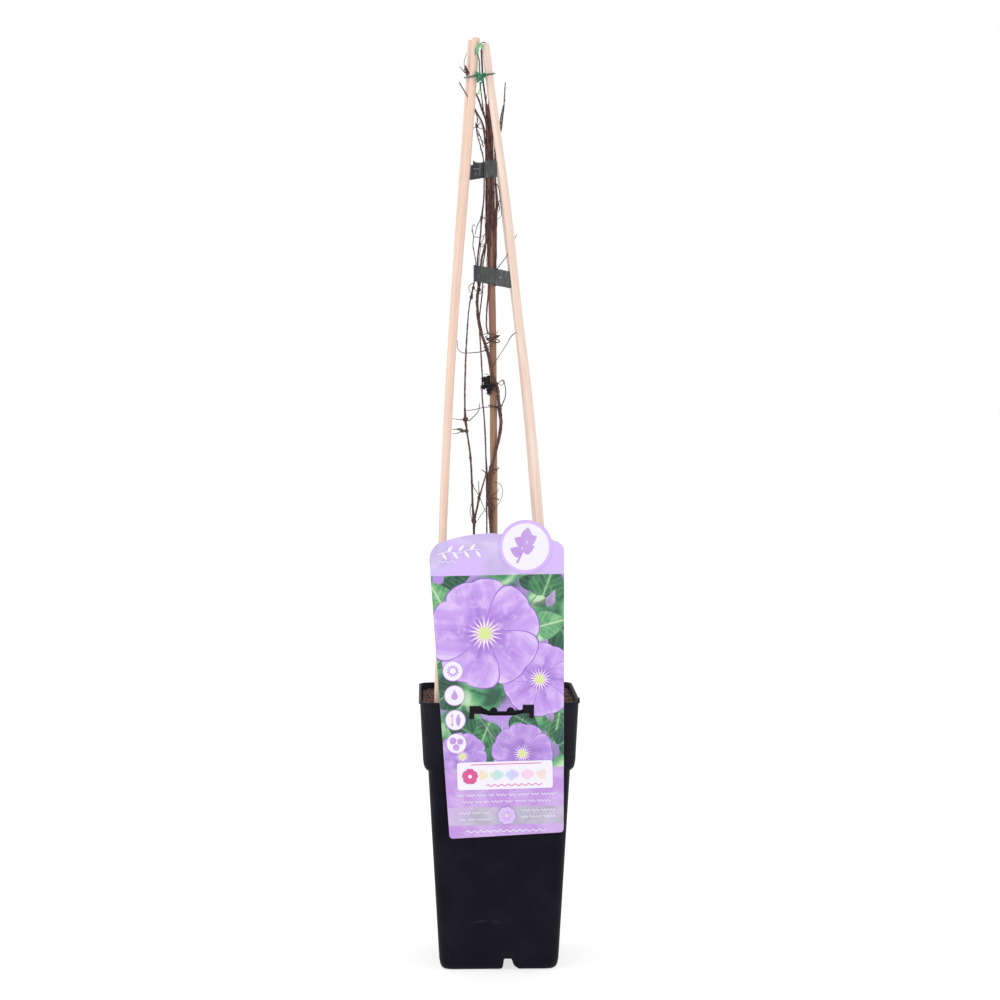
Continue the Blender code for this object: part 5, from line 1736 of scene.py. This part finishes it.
@dataclass(frozen=True)
class Band:
    """A strip of tape, given by places along it: x, y, and the heights of its two edges."""

    places: tuple[Edges, ...]
    closed: bool = False
    thickness: float = 0.5
    steps: int = 120
    rows: int = 10
    crinkle: float = 0.3
    relax: int = 5

    def sampled(self) -> list[tuple[float, ...]]:
        """Even steps along the band, with its bends eased."""
        places = [Vector(place) for place in self.places]
        if self.closed:
            places.append(places[0])
        spans = [(b.xy - a.xy).length for a, b in zip(places, places[1:])]
        line = []
        for i in range(self.steps + 1):
            left = sum(spans) * i / self.steps
            for a, b, span in zip(places, places[1:], spans):
                if left <= span or b is places[-1]:
                    line.append(a.lerp(b, min(1.0, left / span)))
                    break
                left -= span
        for _ in range(self.relax):
            ends = (line[-2], line[1]) if self.closed else (line[0], line[-1])
            line = [(a + b * 2 + c) / 4
                    for a, b, c in zip([ends[0], *line[:-1]], line, [*line[1:], ends[1]])]
        return line

    def build(self, seed: float) -> Piece:
        """A grid bent along the line, thickened."""
        line = self.sampled()
        strip = begin(bpy.ops.mesh.primitive_grid_add, x_subdivisions=self.steps, y_subdivisions=self.rows,
                      size=1, location=(0, 0, 0))
        for corner in strip.data.vertices:
            number = round((corner.co.x + 0.5) * self.steps)
            rise = corner.co.y + 0.5
            before, here, after = (line[max(0, min(self.steps, number + k))] for k in (-1, 0, 1))
            out = (after.xy - before.xy).normalized()
            z = here.z + (here.w - here.z) * rise
            wave = noise.fractal(Vector((here.x / 3.2, here.y / 3.2 + seed, z / 9)), 0.6, 2.0, 3)
            edge = noise.noise(Vector((here.x / 2.4, here.y / 2.4, seed))) * 0.35
            push = self.crinkle * wave
            corner.co = Vector((here.x + out.y * push, here.y - out.x * push,
                                z + edge * abs(2 * rise - 1))) * MM
        tidy(strip)
        modify(strip, "SOLIDIFY", thickness=self.thickness * MM, offset=0.0)
        settle(strip, "tape")
        smooth(strip, 50)
        return strip


@dataclass
class Ties:
    """The two tapes with their staples, and the green wire at the top."""

    upper_loop: Band = Band((
        (-7.2, -6.7, 644.3, 658.2), (-3.8, -5.9, 644.4, 658.2), (-1, -3.8, 644.6, 658),
        (-0.2, -2.9, 644.6, 658), (-0.4, -1.7, 644.8, 658), (-3.1, 1.8, 645, 658), (-4.4, 3.2, 645, 658),
        (-6.2, 3.7, 645, 658), (-8.1, 3.2, 645, 658), (-11.6, 1.4, 644.6, 657.4),
        (-12.3, 0.2, 644.4, 657.2), (-11, -3.4, 644.1, 657.2), (-8.4, -6.2, 644.1, 657.8)), True)
    upper_front: Band = Band((
        (-11.3, -2.2, 645.4, 657.2), (-12.6, -3.0, 645.6, 656.6), (-13.6, -3.7, 644.4, 656.4),
        (-16.4, -4.3, 644.1, 656.5), (-18.6, -4.25, 644.6, 657), (-20.2, -4.2, 645.2, 658.4)),
        steps=40, crinkle=0.16, relax=2)
    upper_back: Band = Band((
        (-11.9, -1.2, 644, 655.9), (-13.5, -3, 643.8, 655.6), (-16.4, -3.75, 643.2, 655),
        (-20.5, -3.5, 642.5, 654.6), (-24.6, -2.2, 642.2, 654.4)), steps=40, crinkle=0.1, relax=2)
    lower_loop: Band = Band((
        (-7.5, -5.6, 558.1, 571.3), (-1.5, -4.7, 557.1, 570.3), (-0.6, -4, 557, 570.2),
        (8, 8.2, 555.7, 568.8), (16.9, 20.9, 554.2, 567.4), (17.4, 22.8, 554.2, 567.4),
        (16.9, 24.8, 554.3, 567.5), (15.5, 26.2, 554.4, 567.6), (13.6, 26.7, 554.7, 567.9),
        (11.7, 26.2, 555, 568.2), (10.9, 25.6, 555.2, 568.4), (-17.2, 0.3, 559.7, 572.9),
        (-19.4, -3, 560, 573.2), (-19.6, -4.2, 560, 573.2), (-18.9, -5.2, 559.9, 573.1)), True, steps=240)
    loop_points: tuple[Point, ...] = (
        (-7.1, -15.1, 726.8), (-5, -14.6, 727.1), (-3.4, -13, 727.5), (-2.9, -10.9, 727.8),
        (-2.2, 10.7, 730.5), (-2.8, 12.8, 730.6), (-5.3, 14.9, 730.4), (-7.6, 14.9, 730.1),
        (-23.6, 12.5, 727.7), (-25.6, 11.3, 727.3), (-26.8, 8.3, 726.7), (-26.7, 7.2, 726.6),
        (-23.9, -10.6, 725), (-22.8, -12.5, 724.9), (-20.9, -13.7, 725), (-19.8, -13.9, 725.2))

    def build_tapes(self) -> None:
        """Both tapes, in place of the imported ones."""
        upper = join("upper_tape",
                     [self.upper_loop.build(1.0), self.upper_front.build(4.0), self.upper_back.build(7.0)])
        lower = join("lower_tape", [self.lower_loop.build(9.0)])
        for tape, name in ((upper, "upper"), (lower, "lower")):
            fit(dress(tape, SoftTape()), Slot.TAPE, "tape_" + name)
        for name in ("staple_upper", "staple_lower"):
            dress(bpy.data.objects[name], StapleWire())

    def build_wire(self) -> None:
        """The loop, the knot, the riser, the crushed wrap at the top and the twisted tail."""
        green = CoatedWire("coated_wire", tint("2c7652"), tint("569874"), 0.1)
        dull = CoatedWire("dull_coat", tint("2c5c4c"), tint("4a7e68"), 0.3)
        frayed = CoatedWire("frayed_coat", tint("3e966a"), tint("92cc96"), 0.8)
        bare = CoatedWire("bare_wire", tint("2e303c"), tint("465656"), 0.2)
        loop = tubes("loop", [Route(self.loop_points, 0.6, 0.6)], 8, 8, ring=True)
        knot = tubes("knot", [
            Route(((-20.4, -13.8, 725.2), (-18.2, -15.2, 726.1), (-16.4, -16.5, 726.8),
                   (-14.2, -17, 725.4), (-12.2, -16.6, 723.8), (-10.4, -15.6, 725.2), (-9, -15.2, 726.4),
                   (-7.1, -15.1, 726.9)), 0.75, 0.65),
            Route(((-17.5, -15.2, 728.4), (-15.8, -16.7, 726.4), (-13.6, -17.2, 723.6),
                   (-12.4, -16.5, 721.2), (-13.2, -15.4, 719.8)), 0.95, 0.8),
            Route(((-16.8, -15.4, 720.6), (-15.4, -16.6, 722.4), (-14, -17.3, 725.4), (-12.2, -16.8, 727),
                   (-10.6, -15.4, 727.2)), 0.95, 0.85),
            Route(((-16.8, -15.2, 724.8), (-16.6, -16.5, 722.8), (-14.6, -17.4, 721.8),
                   (-12.6, -16.8, 723), (-12, -15.6, 724.6)), 0.85, 0.75)], 8, 5)
        strands = tubes("strands", [
            Route(((-14.4, -15.6, 726.4), (-14.9, -15.0, 730), (-15, -14.8, 733.4), (-15.1, -14.4, 737.8),
                   (-16.1, -14, 741.2), (-17.1, -13.8, 744)), 0.6, 0.55),
            *self.twist((-14.3, -15.4, 720.4), (-14.2, -14.8, 713.6), 0.4, 2.2, 0.42),
            Route(((-15.4, -14.6, 711.6), (-16.4, -14.2, 710.9), (-17.3, -13.9, 710.1)), 0.45, 0.35)], 8, 5)
        eye = tuple((x, -14.7, z) for x, z in arc((-14.8, 712.3), 1.05, 0, 324, 9))
        ring = tubes("ring", [Route(eye, 0.38, 0.38)], ring=True)
        wrap = tubes("wrap", [
            Route(((-17.2, -13.8, 743.2), (-17.1, -14.4, 746.6), (-16.3, -14.8, 748.9),
                   (-15.0, -15, 750.4), (-13.2, -15, 750.2), (-12, -14.7, 749.2), (-12.3, -14.4, 747.6)),
                  0.85, 0.6),
            Route(((-16.4, -14.8, 744.8), (-16, -15.2, 747.2), (-14.8, -15.4, 749), (-13.6, -15.2, 748.6),
                   (-13.5, -14.8, 746.8)), 0.6, 0.4),
            Route(((-16.2, -14.4, 750), (-16.3, -14, 751.6), (-15.3, -13.7, 752.8)), 0.55, 0.25),
            Route(((-14.9, -14.6, 750.8), (-14.4, -14, 752)), 0.55, 0.25),
            Route(((-17.3, -14.2, 745.4), (-18.1, -14, 747.2)), 0.4, 0.25)], 8, 5)
        hook = tubes("hook", [
            Route(((-16, -14.6, 750.3), (-14, -14, 751.6), (-11.8, -12.2, 752.9), (-10.1, -9.4, 752.9),
                   (-9.2, -5.6, 752.2), (-9.4, -4.8, 749)), 0.4, 0.35),
            Route(((-18.3, -13.9, 742.8), (-18.4, -14, 745.4), (-17.9, -14, 748)), 0.32, 0.28)], 6, 5)
        for piece, finish, rough in ((loop, dull, 0.16), (knot, green, 0.35), (strands, green, 0.14),
                                     (ring, frayed, 0.1), (wrap, frayed, 0.45), (hook, bare, 0.05)):
            roughen(piece, rough, 1.1)
            dress(piece, finish)
        tie = join("green_wire_tie", [loop, knot, strands, ring, wrap, hook])
        fit(tie, Slot.WIRE, "wire_tie")

    @staticmethod
    def twist(start: Point, end: Point, reach: float, turns: float, radius: float) -> list[Route]:
        """Two strands wound round each other between two places."""
        strands = []
        for half in (0.0, pi):
            points = []
            for i in range(17):
                centre = Vector(start).lerp(Vector(end), i / 16)
                points.append(beside(centre, reach, half + tau * turns * i / 16))
            strands.append(Route(tuple(points), radius, radius * 0.9))
        return strands

    def build(self) -> None:
        """Make and dress all the ties."""
        self.build_tapes()
        self.build_wire()


PARTS = (NurseryPot(), Soil(), StickPyramid(), Vine(), LabelCard(), Ties())


@dataclass
class Studio:
    """A pale floor, soft light and the camera."""

    distance: float = 2.0
    pitch: float = 3.09
    azimuth: float = -1.783
    aim: Point = (0.00216, 0.0, 0.38027)
    lens: float = 87.3
    pale: Colour = tint("a0a0a0")
    glow: float = 0.7
    floor_size: float = 12.0
    floor_drop: float = 0.0003

    def build_floor(self) -> None:
        """A wide pale floor that glows a little, as a light table does."""
        floor = settle(begin(bpy.ops.mesh.primitive_plane_add, size=self.floor_size,
                             location=(0, 0, -self.floor_drop)), "studio_floor")
        paint = Paint("studio_floor")
        paint.finish(self.pale, 0.9, Emission_Strength=self.glow, Emission_Color=(1, 1, 1))
        floor.data.materials.append(paint.material)

    def facing(self, place: Vector) -> Any:
        """The turn with which a lamp or the camera at a place faces the plant."""
        return (Vector(self.aim) - place).to_track_quat("-Z", "Y").to_euler()

    def add_light(self, name: str, place: Point, size: float, power: float) -> None:
        """A square soft light, with its size in metres and its power in watts."""
        lamp = begin(bpy.ops.object.light_add, type="AREA", location=place,
                     rotation=self.facing(Vector(place)))
        lamp.name = name
        lamp.data.size = size
        lamp.data.energy = power

    def build_camera(self) -> None:
        """The camera, at the photograph's angle."""
        turn, tilt = radians(self.azimuth), radians(self.pitch)
        place = Vector(self.aim) + self.distance * Vector((
            sin(turn) * cos(tilt), -cos(turn) * cos(tilt), sin(tilt)))
        camera = begin(bpy.ops.object.camera_add, location=place, rotation=self.facing(place))
        camera.data.lens = self.lens
        camera.data.sensor_width = 36
        camera.data.clip_start = 0.05
        bpy.context.scene.camera = camera

    def build(self) -> None:
        """Set the stage."""
        self.build_floor()
        world = bpy.data.worlds.new("studio")
        world.use_nodes = True
        world.node_tree.nodes["Background"].inputs[0].default_value = (1, 1, 1, 1)
        world.node_tree.nodes["Background"].inputs[1].default_value = 1.0
        bpy.context.scene.world = world
        bpy.context.scene.view_settings.view_transform = "Standard"
        self.add_light("key_light", (-1.5, -2.2, 2.0), 1.4, 12)
        self.add_light("fill_light", (2.2, -1.8, 1.2), 1.8, 6)
        self.add_light("edge_light", (-2.4, -0.2, 0.5), 0.6, 7)
        self.build_camera()


def main() -> None:
    """Build every sub-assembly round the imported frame."""
    logging.basicConfig(level=logging.INFO, format="%(message)s")
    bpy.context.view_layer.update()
    for part in PARTS:
        part.build()
    Studio().build()


if __name__ == "__main__":
    main()
